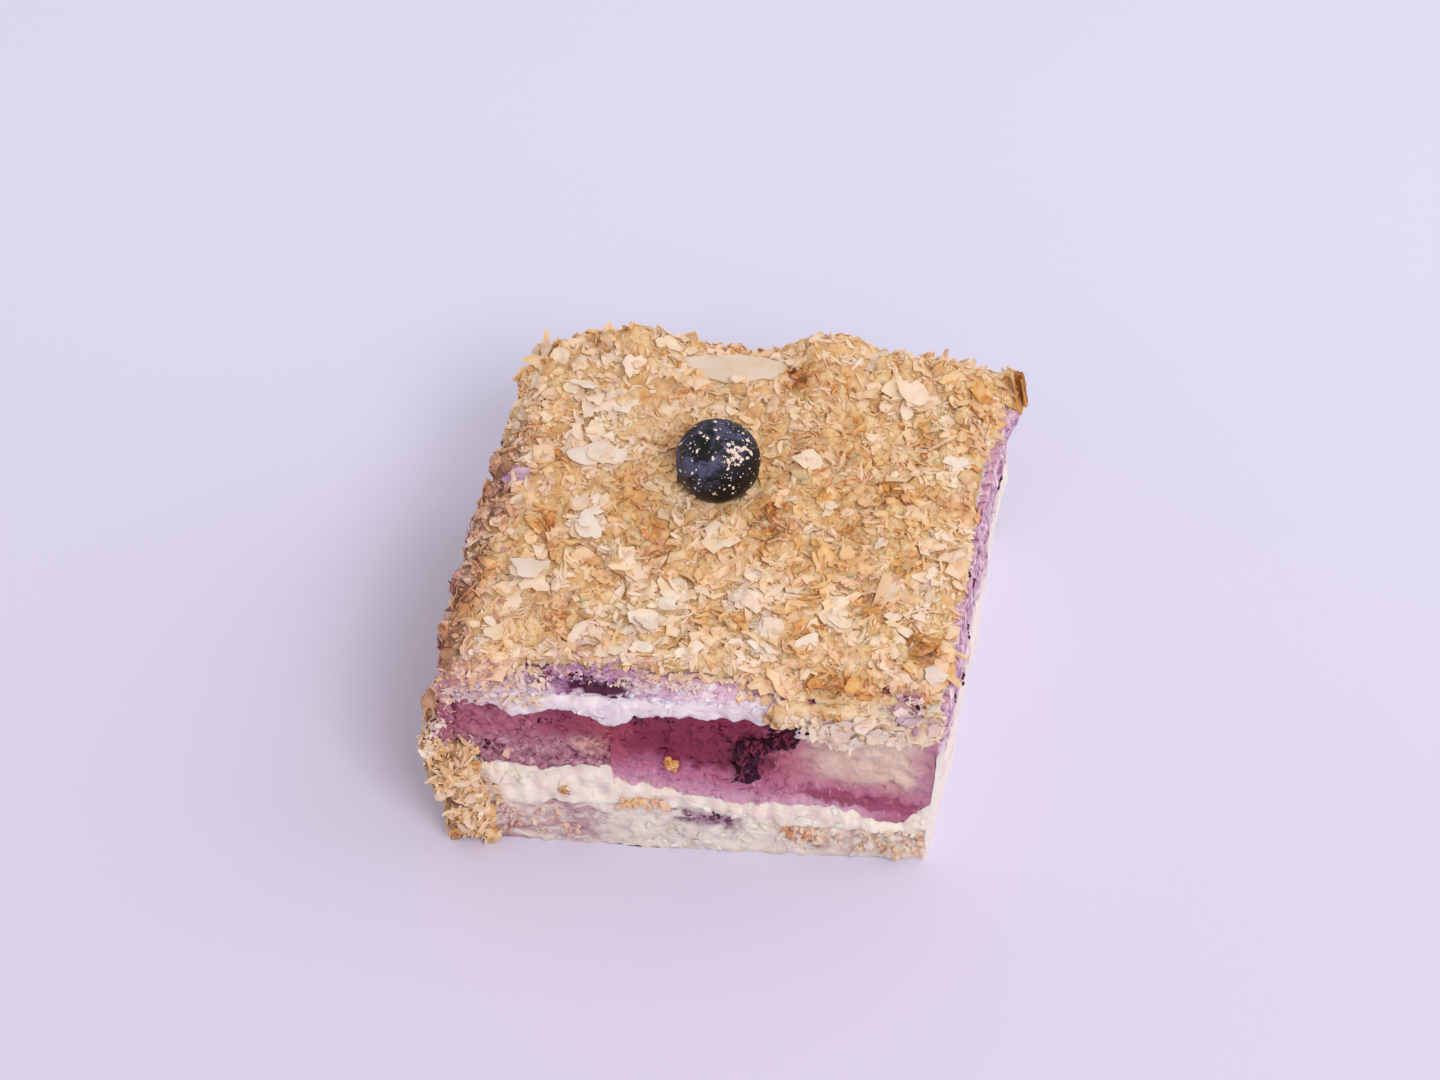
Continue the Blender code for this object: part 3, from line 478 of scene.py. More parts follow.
def finish_pale_sheet():
    f = Finish("pale_sheet_pastry", Subsurface_Weight=0.2, Subsurface_Scale=0.001, Specular_IOR_Level=0.3)
    broad = f.noise(3.4, 3.0, 0.5, place=f.stretched(0.5, 1.0, 1.0))
    grain = f.noise(0.7, 3.0, 0.6)
    f.ground(broad.ramp(0.4, 0.66), (226, 206, 190), (220, 194, 166))
    return f.spread(0.5 + grain * 0.3, broad + grain * 0.4, 0.0003, 0.5)


def finish_rolled_flake():
    f = Finish("browned_curl_pastry", Specular_IOR_Level=0.45)
    bands = f.noise(1.4, 3.0, 0.6, place=f.stretched(1.0, 1.0, 0.35))
    f.colour = f.scale(
        bands, ((0.3, tint(206, 150, 84)), (0.5, tint(172, 112, 50)), (0.72, tint(128, 72, 30)))
    )
    return f.spread(0.45 + bands * 0.3, bands, 0.0002, 0.6)


def finish_blueberry():
    """Blue-black skin with a dull bloom, rubbed off in patches and kept to the upper left, where it is also a
    painted sheen.
    """
    f = Finish("blueberry_skin", Specular_IOR_Level=0.28, Subsurface_Weight=0.0)
    broad = f.noise(2.6, 4.0, 0.6, distort=0.6)
    fine = f.noise(0.5, 4.0, 0.7)
    # The bloom lies on the upper left only, where it also paints a sheen.
    upper_left = (f.x * -0.6 + f.z * 0.7 + f.y * 0.2).ramp(35.0, 39.6)
    bloom_and_sheen = broad.ramp(0.45, 0.6) * upper_left
    f.ground(broad.ramp(0.3, 0.7), (11, 8, 10), (18, 13, 16))
    f.lay(bloom_and_sheen * 0.8, 90, 89, 120)
    f.lay(fine.ramp(0.62, 0.75) * 0.2, 96, 96, 112)
    return f.spread(0.34 + bloom_and_sheen * 0.35 + fine * 0.15, fine + broad, 0.0003, 0.5)


def finish_crushed_berry():
    f = Finish("crushed_berry_wet", Specular_IOR_Level=0.25, Subsurface_Weight=0.1, Subsurface_Scale=0.001)
    broad = f.noise(1.6, 4.0, 0.6, distort=0.8)
    fine = f.noise(0.5, 4.0, 0.7)
    f.ground(broad.ramp(0.5, 0.6), (60, 14, 38), (146, 60, 92))
    f.lay(fine.ramp(0.54, 0.66) * 0.6, 30, 6, 20)
    return f.spread(0.45 + fine * 0.3, broad + fine * 0.6, 0.0008, 0.9)


def finish_floor():
    """A plain pale table, a little darker and pinker towards the front: painted shading across it."""
    f = Finish("pale_tabletop", Roughness=0.6, Specular_IOR_Level=0.2)
    grain = f.noise(2.0, 2.0)
    f.ground(f.y.ramp(-140.0, 160.0), (217, 209, 232), (223, 222, 246))
    return f.spread(0.6 + grain * 0.1)


# ---------------------------------------------------------------- making and finishing pieces


# Edges sharper than these angles stay sharp, in degrees.
FLAKE_ANGLE = 40.0
CRUMB_ANGLE = 60.0
LAYER_ANGLE = 70.0
ALL_ROUND = 180.0

# The longest edges of the refined surfaces.
FACE_GRAIN = 0.45
SIDE_GRAIN = 1.1
CRUSHED_GRAIN = 0.4
BED_GRAIN = 1.0

# Points nearer than this are joined, and no point lies lower than this.
JOIN_DISTANCE = 0.002
LEAST_HEIGHT = 0.02


def take_up(piece):
    """Makes a piece the only one selected."""
    bpy.ops.object.select_all(action="DESELECT")
    piece.select_set(True)
    bpy.context.view_layer.objects.active = piece


def copy_of(node, name):
    """A CAD node's mesh as a new piece, with its loose triangles joined."""
    piece = bpy.data.objects.new(name, frame["nodes"][node].data.copy())
    bpy.context.scene.collection.objects.link(piece)
    piece.data.materials.clear()
    take_up(piece)
    bpy.ops.object.mode_set(mode="EDIT")
    bpy.ops.mesh.select_all(action="SELECT")
    bpy.ops.mesh.remove_doubles(threshold=JOIN_DISTANCE * MM)
    bpy.ops.mesh.select_all(action="DESELECT")
    bpy.ops.object.mode_set(mode="OBJECT")
    if piece.data.has_custom_normals:
        bpy.ops.mesh.customdata_custom_splitnormals_clear()
    return piece


def refine(piece, picked, longest):
    """Halves the long edges of the picked faces until none is longer than a length in mm.

    Edit mode is left after each round, because that puts the faces in the same order in every run.
    """
    take_up(piece)
    for _ in range(6):
        bpy.ops.object.mode_set(mode="EDIT")
        bpy.ops.mesh.select_mode(type="EDGE")
        bpy.ops.mesh.select_all(action="DESELECT")
        body = bmesh.from_edit_mesh(piece.data)
        body.normal_update()
        long_edges = [
            edge
            for edge in body.edges
            if edge.calc_length() > longest * MM and any(picked(face) for face in edge.link_faces)
        ]
        if not long_edges:
            break
        for edge in long_edges:
            edge.select_set(True)
        bmesh.update_edit_mesh(piece.data)
        bpy.ops.mesh.subdivide(number_cuts=1)
        bpy.ops.mesh.select_all(action="SELECT")
        bpy.ops.mesh.quads_convert_to_tris(quad_method="BEAUTY", ngon_method="BEAUTY")
        bpy.ops.object.mode_set(mode="OBJECT")
    bpy.ops.object.mode_set(mode="EDIT")
    bpy.ops.mesh.select_all(action="DESELECT")
    bpy.ops.mesh.select_mode(type="VERT")
    bpy.ops.object.mode_set(mode="OBJECT")


def press(piece, move):
    """Moves each point by what move gives for its place and normal: x, y, z and the pit's depth, which is
    kept on the mesh for the finishes to paint shade in the pits.
    """
    mesh = piece.data
    pits = np.zeros(len(mesh.vertices), np.float32)
    moved = np.zeros((len(mesh.vertices), 3), np.float32)
    for i, vertex in enumerate(mesh.vertices):
        place = on_cake(vertex.co)
        dx, dy, dz, pits[i] = move(place, vertex.normal)
        moved[i] = in_frame(place.x + dx, place.y + dy, max(LEAST_HEIGHT, place.z + dz))
    mesh.vertices.foreach_set("co", moved.reshape(-1))
    mesh.attributes.new("pit", "FLOAT", "POINT").data.foreach_set("value", pits)
    mesh.update()


def finish_off(piece, material, slot, *nodes, smooth=ALL_ROUND):
    """Gives a piece its material and its place in the model."""
    piece.data.materials.clear()
    piece.data.materials.append(material)
    take_up(piece)
    bpy.ops.object.shade_smooth_by_angle(angle=math.radians(smooth))
    bpy.ops.object.select_all(action="DESELECT")
    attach(piece, "root")
    if nodes:
        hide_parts(*nodes)
    return piece


# ---------------------------------------------------------------- layers at the cut face

EDGE_FILL = 0.22


def on_cut_face(face):
    place = on_cake(face.calc_center_median())
    return place.y < -36.6 and face.normal.y < -0.35


def face_share(y):
    """1 on the cut face and 0 a little way behind it."""
    return ramp(y, -36.4, -37.6)


# A relief gives how far the cut face is pushed in, and how far in a pit or hollow each place lies, where the
# finishes paint shade.
def sponge_relief(coarse, fine, pit_depth, pit_size, salt):
    def depth(x, z):
        out = coarse * waver(x, z, 2.4, salt) + fine * waver(x, z, 0.75, salt + 1)
        near = noise.voronoi(Vector((x / pit_size, z / pit_size, salt)))[0][0]
        crowd = ramp(waver(x, z, 4.0, salt + 2), -0.12, 0.14)
        pit = ramp(near, 0.42, 0.12) * crowd
        return out - pit_depth * pit, pit

    return depth


def cream_relief(coarse, fine, salt):
    def depth(x, z):
        fold = waver(x * 1.5, z * 0.7, 3.2, salt)
        out = coarse * fold + fine * waver(x, z, 1.1, salt + 1)
        return out, ramp(-fold, 0.05, 0.35)

    return depth


def ragged(x, z):
    """How far the layers' edges wander up and down, the same for all of them."""
    edge = 0.9 * waver(x, z, 3.2, 31.0) + 0.55 * waver(x, z, 1.2, 32.0) + 0.3 * waver(x, z, 0.6, 33.0)
    return edge * ramp(z, 0.3, 3.0) * ramp(z, 44.0, 39.0)


def make_layer(node, name, relief, material, slot):
    piece = copy_of(node, name)
    refine(piece, on_cut_face, FACE_GRAIN)

    def move(place, normal):
        share = face_share(place.y)
        out, pit = relief(place.x, place.z)
        wander = ragged(place.x, place.z)
        dx = EDGE_FILL * normal.x
        dz = EDGE_FILL * normal.z * ramp(place.z, 0.2, 1.0) + share * wander
        return dx, -share * out, dz, pit * share

    press(piece, move)
    return finish_off(piece, material, slot, node, smooth=LAYER_ANGLE)


# The layers: node, piece, slot, finish and relief.
LAYERS = (
    ("base_sponge", "plain_sponge_layer", "plain_sponge",
     finish_plain_sponge, sponge_relief(0.9, 0.2, 0.3, 1.9, 3.0)),
    ("lower_cream", "lower_cream_layer", "white_cream",
     finish_lower_cream, cream_relief(1.1, 0.12, 5.0)),
    ("berry_sponge_left", "mauve_sponge_piece", "soaked_sponge_mauve",
     finish_mauve_sponge, sponge_relief(1.3, 0.45, 0.7, 1.9, 7.0)),
    ("berry_sponge_right", "magenta_sponge_piece", "soaked_sponge_magenta",
     finish_magenta_sponge, sponge_relief(1.3, 0.4, 0.5, 1.9, 9.0)),
    ("upper_cream", "upper_cream_layer", "upper_white_cream",
     finish_upper_cream, cream_relief(0.9, 0.12, 11.0)),
    ("berry_cream", "lilac_cream_layer", "lilac_cream",
     finish_lilac_cream, cream_relief(1.2, 0.35, 13.0)),
)
LAYER_SLOTS = {name: slot for _, name, slot, _, _ in LAYERS}


def make_layers():
    for node, name, slot, finish, relief in LAYERS:
        make_layer(node, name, relief, finish(), slot)


# The side cream, in millimetres: how much its front edge is rounded, its middle bulges, its top bulges
# at the back, it reaches back over the gap, and it is drawn in all over.
SIDE_ROUNDED = 1.3
SIDE_BELLY = 1.2
SIDE_BACK_BULGE = 2.0
SIDE_TO_BACK = 0.5
SIDE_DRAWN_IN = 0.15


def make_side_cream():
    piece = copy_of("side_cream", "smooth_side_cream")
    refine(piece, lambda face: face.normal.x > 0.3, SIDE_GRAIN)

    def move(place, normal):
        share = ramp(normal.x, 0.2, 0.7)
        out = 1.1 * waver(place.y, place.z, 8.0, 21.0) + 0.3 * waver(place.y, place.z, 2.4, 22.0)
        top = ramp(place.z, 30.0, 38.0) * 0.9 * waver(place.y, place.z, 2.6, 23.0)
        rounded = SIDE_ROUNDED * ramp(place.y, -35.4, SIDE_CREAM_FRONT) ** 2 * ramp(place.z, 0.5, 5.0)
        belly = SIDE_BELLY * bell(place.y, -4.0, 26.0) * bell(place.z, 20.0, 16.0)
        belly += SIDE_BACK_BULGE * ramp(place.y, 24.0, 31.0) * ramp(place.z, 30.0, 37.0)
        to_back = SIDE_TO_BACK * ramp(normal.y, 0.2, 0.7)
        aside = share * (out + top + belly - rounded) - SIDE_DRAWN_IN
        return aside, to_back, 0.0, ramp(-out, 0.2, 0.5)

    press(piece, move)
    return finish_off(piece, finish_side_cream(), "side_white_cream", "side_cream", smooth=LAYER_ANGLE)


# ---------------------------------------------------------------- berries


def make_crushed_berry():
    piece = copy_of("crushed_berry", "crushed_berry_skins")
    refine(piece, lambda face: True, CRUSHED_GRAIN)

    def move(place, normal):
        wrinkle = 1.6 * waver(place.x, place.z, 1.5, 41.0) + 0.9 * waver(place.x, place.z, 0.7, 42.0)
        lift = wrinkle - 0.1
        return normal.x * lift, normal.y * lift, normal.z * lift, ramp(-wrinkle, 0.0, 0.4)

    press(piece, move)
    return finish_off(
        piece, finish_crushed_berry(), "crushed_berry_skin", "crushed_berry", smooth=CRUMB_ANGLE
    )


def make_blueberry():
    piece = copy_of("blueberry", "whole_blueberry")
    take_up(piece)
    rounder = piece.modifiers.new("rounder", "SUBSURF")
    rounder.levels = rounder.render_levels = 2
    bpy.ops.object.modifier_apply(modifier=rounder.name)

    def move(place, normal):
        spot = place - BERRY_CENTRE
        dent = noise.noise(spot / 3.0) * 0.22 + noise.noise(spot / 1.0) * 0.05
        lift = 0.1 + dent
        return normal.x * lift, normal.y * lift, normal.z * lift, 0.0

    press(piece, move)
    return finish_off(piece, finish_blueberry(), "berry_skin", "blueberry")


# ---------------------------------------------------------------- flakes and crumbs


# How much browner the middle and the underside of a flake are than the flake as a whole.
MIDDLE_SHADE = -0.06
UNDERSIDE_SHADE = 0.1


def draw_flake(rng, sides, rings, thick, narrow, crumple, torn=1.0):
    """One thin torn plate of radius about 1, bent and crumpled, whose rim is browner."""
    angles = (np.arange(sides) + rng.uniform(-0.3, 0.3, sides)) / sides * math.tau
    lobes = rng.uniform(-0.3, 0.3, 2) * torn
    radii = 0.85 + lobes[0] * np.cos(angles * 2 + 1.0) + lobes[1] * np.sin(angles * 3)
    radii += rng.uniform(-0.2, 0.15, sides) * torn
    bend, twist, salt = rng.uniform(-0.2, 0.2), rng.uniform(-0.2, 0.2), rng.uniform(0.0, 50.0)
    rows = [
        np.stack([np.cos(angles) * radii * r, np.sin(angles) * radii * r * narrow], axis=1)
        for r in rings
    ]
    flat = np.vstack(rows + [np.zeros((1, 2))])
    lift = bend * flat[:, 0] ** 2 + twist * flat[:, 0] * flat[:, 1]
    lift += [crumple * noise.noise(Vector((a * 1.3, b * 1.3, salt))) for a, b in flat]
    over = np.column_stack([flat, lift + thick / 2])
    last = len(rings) - 1
    rim = np.column_stack([rows[last] * 0.96, lift[last * sides:-1] - thick / 2])
    points = np.vstack([over, rim, [[0.0, 0.0, lift[-1] - thick / 2]]])
    ring_shades = np.array(rings) ** 2 * 0.14 + MIDDLE_SHADE
    shade = np.concatenate(
        [np.repeat(ring_shades, sides), [MIDDLE_SHADE], np.full(sides + 1, UNDERSIDE_SHADE)]
    )
    middle, under = len(rings) * sides, len(rings) * sides + 1
    faces = []
    for i in range(sides):
        j = (i + 1) % sides
        faces += [(i, j, middle), (under + j, under + i, under + sides)]
        for r in range(last):
            a, b = r * sides, (r + 1) * sides
            faces += [(a + i, b + i, b + j), (a + i, b + j, a + j)]
        edge = last * sides
        faces += [(edge + i, under + i, under + j), (edge + i, under + j, edge + j)]
    return points, np.array(faces), shade


def draw_flakes(rng, count, sides, rings, thick, narrow, crumple, torn=1.0):
    return [
        draw_flake(rng, sides, rings, thick, rng.uniform(*narrow), crumple, torn)
        for _ in range(count)
    ]


def draw_shred(rng, thick):
    """One narrow strip of length 2, bent along its length."""
    along = np.linspace(-1.0, 1.0, 4)
    bend, sway = rng.uniform(-0.3, 0.2), rng.uniform(-0.4, 0.4)
    wide = rng.uniform(0.14, 0.3, 4) * np.array([0.6, 1.0, 1.0, 0.6])
    points = []
    for a, w in zip(along, wide):
        z, y = bend * a * a, sway * a * a
        points += [(a, y - w, z), (a, y + w, z + 0.03)]
        points += [(a, y + w * 0.8, z + thick), (a, y - w, z + thick)]
    faces = [(0, 1, 2), (0, 2, 3), (12, 14, 13), (12, 15, 14)]
    for s in range(3):
        for k in range(4):
            a, b = 4 * s + k, 4 * s + (k + 1) % 4
            faces += [(a, a + 4, b + 4), (a, b + 4, b)]
    return np.array(points), np.array(faces), np.tile([UNDERSIDE_SHADE, UNDERSIDE_SHADE, 0.0, 0.0], 4)


def draw_layers(rng):
    """Three plates of one torn flake, one over another."""
    points, faces, shades, count = [], [], [], 0
    for level in range(3):
        plate, plate_faces, shade = draw_flake(rng, 6, (1.0,), 0.1, 0.6, 0.2)
        plate = plate * (1.0 - 0.12 * level) + np.array(
            [rng.uniform(-0.15, 0.15), rng.uniform(-0.1, 0.1), 0.2 * level]
        )
        points.append(plate)
        faces.append(plate_faces + count)
        shades.append(shade)
        count += len(plate)
    return np.vstack(points), np.vstack(faces), np.concatenate(shades)


def draw_crumb(rng):
    """One small uneven lump."""
    golden = (1 + 5**0.5) / 2
    corners = []
    for a in (-1, 1):
        for b in (-golden, golden):
            corners += [(a, b, 0), (0, a, b), (b, 0, a)]
    corners = np.array(corners, float) / math.hypot(1, golden)
    gaps = np.linalg.norm(corners[:, None] - corners[None], axis=2)
    near = gaps < 1.2
    faces = []
    for i in range(12):
        for j in range(i + 1, 12):
            for k in range(j + 1, 12):
                if near[i, j] and near[j, k] and near[i, k]:
                    out = np.cross(corners[j] - corners[i], corners[k] - corners[i])
                    faces.append((i, j, k) if out @ corners[i] > 0 else (i, k, j))
    lump = corners * rng.uniform(0.65, 1.25, (12, 1)) * np.array([1.0, 0.8, 0.7])
    return lump, np.array(faces), np.zeros(12)


def facing_out(normals, rng, lean):
    """Three axes for each flake: its plane leans by up to lean from the surface it lies on."""
    up = normals + rng.normal(0.0, lean, normals.shape)
    up /= np.linalg.norm(up, axis=1, keepdims=True)
    side = np.cross(up, rng.normal(0.0, 1.0, normals.shape))
    side /= np.linalg.norm(side, axis=1, keepdims=True)
    return np.stack([side, np.cross(up, side), up], axis=1)


def mostly_small(rng, count, least, most, power):
    """Sizes from least to most; the power keeps most of them near the least."""
    return least + (most - least) * rng.random(count) ** power


def joined(name, shapes, rng, places, axes, sizes, tones, stains):
    """One mesh of many small copies. Places and sizes are millimetres on the cake."""
    kinds = rng.integers(0, len(shapes), len(places))
    all_points, all_faces, marks, count = [], [], [], 0
    for kind, (points, faces, shade) in enumerate(shapes):
        which = np.flatnonzero(kinds == kind)
        if not len(which):
            continue
        scaled = points[None] * sizes[which][:, None, :]
        turned = np.einsum("nvk,nkc->nvc", scaled, axes[which]) + places[which][:, None]
        offsets = count + np.arange(len(which)) * len(points)
        all_points.append(turned.reshape(-1, 3))
        all_faces.append((faces[None] + offsets[:, None, None]).reshape(-1, 3))
        shaded = np.clip(tones[which][:, None] + shade[None], 0.0, 1.0).reshape(-1)
        marks.append(np.stack([shaded, np.repeat(stains[which], len(points))]))
        count += len(which) * len(points)
    points = (np.vstack(all_points) + np.array(SHIFT)) * MM
    points[:, 2] = np.maximum(points[:, 2], LEAST_HEIGHT * MM)
    faces = np.vstack(all_faces)
    mesh = bpy.data.meshes.new(name)
    mesh.vertices.add(len(points))
    mesh.vertices.foreach_set("co", points.astype(np.float32).reshape(-1))
    mesh.loops.add(faces.size)
    mesh.loops.foreach_set("vertex_index", faces.astype(np.int32).reshape(-1))
    mesh.polygons.add(len(faces))
    mesh.polygons.foreach_set("loop_start", (np.arange(len(faces)) * 3).astype(np.int32))
    mesh.update(calc_edges=True)
    for mark, values in zip(("tone", "stain"), np.hstack(marks).astype(np.float32)):
        mesh.attributes.new(mark, "FLOAT", "POINT").data.foreach_set("value", values)
    piece = bpy.data.objects.new(name, mesh)
    bpy.context.scene.collection.objects.link(piece)
    return piece


def points_and_faces(piece):
    """The points of a piece in cake millimetres, and its triangles."""
    mesh = piece.data
    points = np.zeros(len(mesh.vertices) * 3, np.float32)
    mesh.vertices.foreach_get("co", points)
    mesh.calc_loop_triangles()
    faces = np.zeros(len(mesh.loop_triangles) * 3, np.int32)
    mesh.loop_triangles.foreach_get("vertices", faces)
    return points.reshape(-1, 3).astype(float) / MM - np.array(SHIFT), faces.reshape(-1, 3)


class Skin:
    """The outer surface of some pieces, to lay crumbs on."""

    # How far out a line starts, and the ways it can run.
    FAR = 90.0
    DOWN = (lambda a, b: (a, b, Skin.FAR), Vector((0, 0, -1)))
    INWARD = (lambda a, b: (a, -Skin.FAR, b), Vector((0, 1, 0)))
    LEFTWARD = (lambda a, b: (Skin.FAR, a, b), Vector((-1, 0, 0)))

    def __init__(self, *pieces):
        all_points, all_faces, count = [], [], 0
        for piece in pieces:
            points, faces = points_and_faces(piece)
            all_points.append(points)
            all_faces.append(faces + count)
            count += len(points)
        self.points = np.vstack(all_points)
        self.faces = np.vstack(all_faces)
        self.tree = BVHTree.FromPolygons(self.points.tolist(), self.faces.tolist())

    def struck(self, way, a, b):
        """Where a line along one way meets the skin, and the skin's normal there."""
        start, direction = way
        place, normal, _, _ = self.tree.ray_cast(Vector(start(a, b)), direction)
        return place, normal


class CoatSkin(Skin):
    """The pastry coat's surface, as far as it looks up, left, back or out of the cut face."""

    AXES = np.array([(0, 0, 1.0), (-1.0, 0, 0), (0, 1.0, 0), (0, -1.0, 0)])
    FRONT = 3
    # A face belongs to the skin where it looks out at least this much, and at the front only here.
    LEAST_OUTWARD = 0.15
    FRONT_BACK = -36.0
    # How much a flake follows the way its side of the cake faces, and how much the surface under it.
    SIDE_SHARE = 0.4
    SURFACE_SHARE = 0.6
    CURL_CLEARANCE = 3.0
    # The lip carries fewer flakes.
    LIP_LEFT_OUT = 0.3

    def __init__(self, piece):
        super().__init__(piece)
        corners = self.points[self.faces]
        cross = np.cross(corners[:, 1] - corners[:, 0], corners[:, 2] - corners[:, 0])
        area = np.linalg.norm(cross, axis=1) / 2
        normal = cross / np.maximum(2 * area[:, None], 1e-9)
        middle = corners.mean(axis=1)
        side = (normal @ self.AXES.T).argmax(axis=1)
        seen = (normal * self.AXES[side]).sum(axis=1) > self.LEAST_OUTWARD
        seen &= ~((side == self.FRONT) & (middle[:, 1] > self.FRONT_BACK))
        for i in np.flatnonzero(seen):
            start = Vector(middle[i] + normal[i] * 0.05)
            if self.tree.ray_cast(start, Vector(self.AXES[side[i]]))[0] is not None:
                seen[i] = False
        self.corners = corners[seen]
        self.normal = normal[seen]
        self.side = side[seen]
        self.area = area[seen]

    def strew(self, count, rng):
        """Places and normals spread evenly over the skin, clear of the berry and the pale sheet."""
        which = rng.choice(len(self.area), count, p=self.area / self.area.sum())
        a, b = rng.random((2, count))
        flip = a + b > 1
        a[flip], b[flip] = 1 - a[flip], 1 - b[flip]
        first, second, third = (self.corners[which, i] for i in range(3))
        places = first + a[:, None] * (second - first) + b[:, None] * (third - first)
        normals = self.SIDE_SHARE * self.AXES[self.side[which]] + self.SURFACE_SHARE * self.normal[which]
        normals /= np.linalg.norm(normals, axis=1, keepdims=True)
        clear = np.linalg.norm(places - np.array(BERRY_CENTRE), axis=1) > BERRY_REACH
        off = np.abs(places[:, :2] - np.array(SHEET_CENTRE)) / np.array(SHEET_HALF_SIZE)
        clear &= (off.max(axis=1) > 0.93) | (places[:, 2] < TOP_LEVEL)
        foot = np.array(CURL_FOOT) + np.array(CURL_SAG)
        by_curl = np.linalg.norm(places - foot, axis=1) < self.CURL_CLEARANCE
        clear &= ~by_curl | (places[:, 2] < foot[2] - 0.5)
        on_lip = (places[:, 0] > 14.0) & (places[:, 1] < -37.4) & (places[:, 2] < 41.0)
        clear &= ~on_lip | (rng.random(count) > self.LIP_LEFT_OUT)
        return places[clear], normals[clear]


# The smooth sheet of pastry near the back, and the curl at the back right corner.
SHEET_CENTRE = (-3.6, 31.0)
SHEET_HALF_SIZE = (9.2, 2.7)
SHEET_SLOPE = 0.2
SHEET_GRID = (44, 16)
SHEET_LIFT = 0.6
SHEET_THICK = 0.35
CURL_FOOT = (42.6, 33.2, 40.0)
# The crumb bed's part of the curl: within this of the foot, and above this level.
CURL_REACH = 3.4
CURL_LEVEL = 39.5
CURL_HEIGHT = 5.8
CURL_RADIUS = 1.2
CURL_SIDES = 32
CURL_THICK = 0.3
# The curl's faces that look this much to the front are left out.
CURL_OPENING = -0.55
CURL_LEAN = (math.radians(-14.0), math.radians(-11.0))
CURL_SAG = Vector((3.2, -1.5, -1.5))
CURL_TILT = math.tan(math.radians(12.0)) - math.tan(CURL_LEAN[1])

# Where the pastry is browner (or paler, below 0) than elsewhere: x, y, reach and how much.
BROWNED = (
    (7.9, 29.8, 2, 0.4), (8.7, 15.8, 2, 0.3), (-20.8, 4.6, 2.6, 0.4), (-31.5, -5.8, 2.8, 0.4),
    (-13.4, -8.4, 2.8, 0.44), (-29.1, -25.3, 3.6, 0.38), (31.2, -27.4, 3, 0.4), (22.2, -19.5, 2.8, 0.32),
    (4.2, -0.4, 2, 0.4), (24.6, 6.6, 3, 0.25), (19, -36.6, 4, 0.3), (14, -17.9, 2.4, 0.3),
    (-36.6, 15.4, 2.4, 0.3), (-4, -31, 3.2, 0.3), (30, 20, 4, 0.14), (12, -34, 3, 0.2),
    (-23.8, 21, 8, -0.2), (-22.7, 11, 5, -0.2), (-30, -17.2, 5, -0.2), (24.9, 28.9, 4.5, -0.16),
    (34.5, 10, 3.6, -0.18), (-12.9, -25.6, 6, -0.26), (2.2, -20.3, 4, -0.2), (26.8, -23.5, 3.4, -0.1),
    (4, 2, 16, 0.13), (24, 10, 14, 0.1), (-36, -30, 5, -0.16), (17, -23, 4, -0.16), (6, -27, 4, -0.14),
    (-24, -33, 5, -0.12),
)

# A group of flakes or crumbs is the two numbers of its middle, its reach either way along both, how
# many there are, the least and the greatest size, the tone and the stain. Zeros at the end are left out.

# The largest pale flakes, seen from above.
LARGE_PALE = (
    (-25, 10, 3.4, 2, 5, 2, 2.8, 0.1, 0.03), (-24.8, -7, 2.2, 2.8, 4, 1.6, 2.6, 0.1, 0.03),
    (-32.8, -18.4, 2.6, 2, 4, 1.8, 2.6, 0.12, 0.03), (-26.6, 20.6, 4, 3.4, 8, 1.8, 2.8, 0.16, 0.03),
    (24.9, 27, 2.4, 2, 4, 1.8, 2.8, 0.16, 0.03), (35.6, 12.6, 1, 1.8, 4, 1.6, 2.4, 0.1, 0.04),
    (33, -3, 1, 3, 5, 1.4, 2.2, 0.12, 0.04), (14.4, 1, 1.4, 1.2, 3, 1.4, 2.2, 0.08, 0.03),
    (17.4, -21.8, 2.6, 1.6, 5, 1.6, 2.6, 0.12, 0.03), (-13.6, -25.8, 3, 2, 4, 1.8, 2.6, 0.08, 0.03),
    (-13, -31.6, 3.4, 1, 4, 1.6, 2.4, 0.1, 0.05), (1.6, -20, 2, 1.4, 3, 1.6, 2.4, 0.1, 0.03),
    (7.2, -25.4, 2, 1.4, 4, 1.6, 2.4, 0.1, 0.04), (31.6, -13.4, 1.4, 2.4, 4, 1.6, 2.4, 0.16, 0.03),
    (26.8, -23.5, 2.2, 1.4, 3, 1.6, 2.4, 0.18, 0.03), (-38, -29, 1.6, 2.4, 5, 1.6, 2.4, 0.14, 0.05),
    (-19.6, -31.4, 1.8, 1, 4, 1.4, 2.2, 0.14, 0.05), (4, -30, 5, 2, 6, 1.6, 2.4, 0.14, 0.03),
    (-3.6, 34, 8, 0.5, 12, 1, 1.8, 0.24), (-3.6, 27.8, 8, 0.4, 9, 1, 1.8, 0.3),
    (-13.2, 30.6, 0.8, 1.8, 5, 1.2, 2, 0.12), (6.4, 31.8, 1, 1.8, 5, 1.2, 2, 0.24),
)

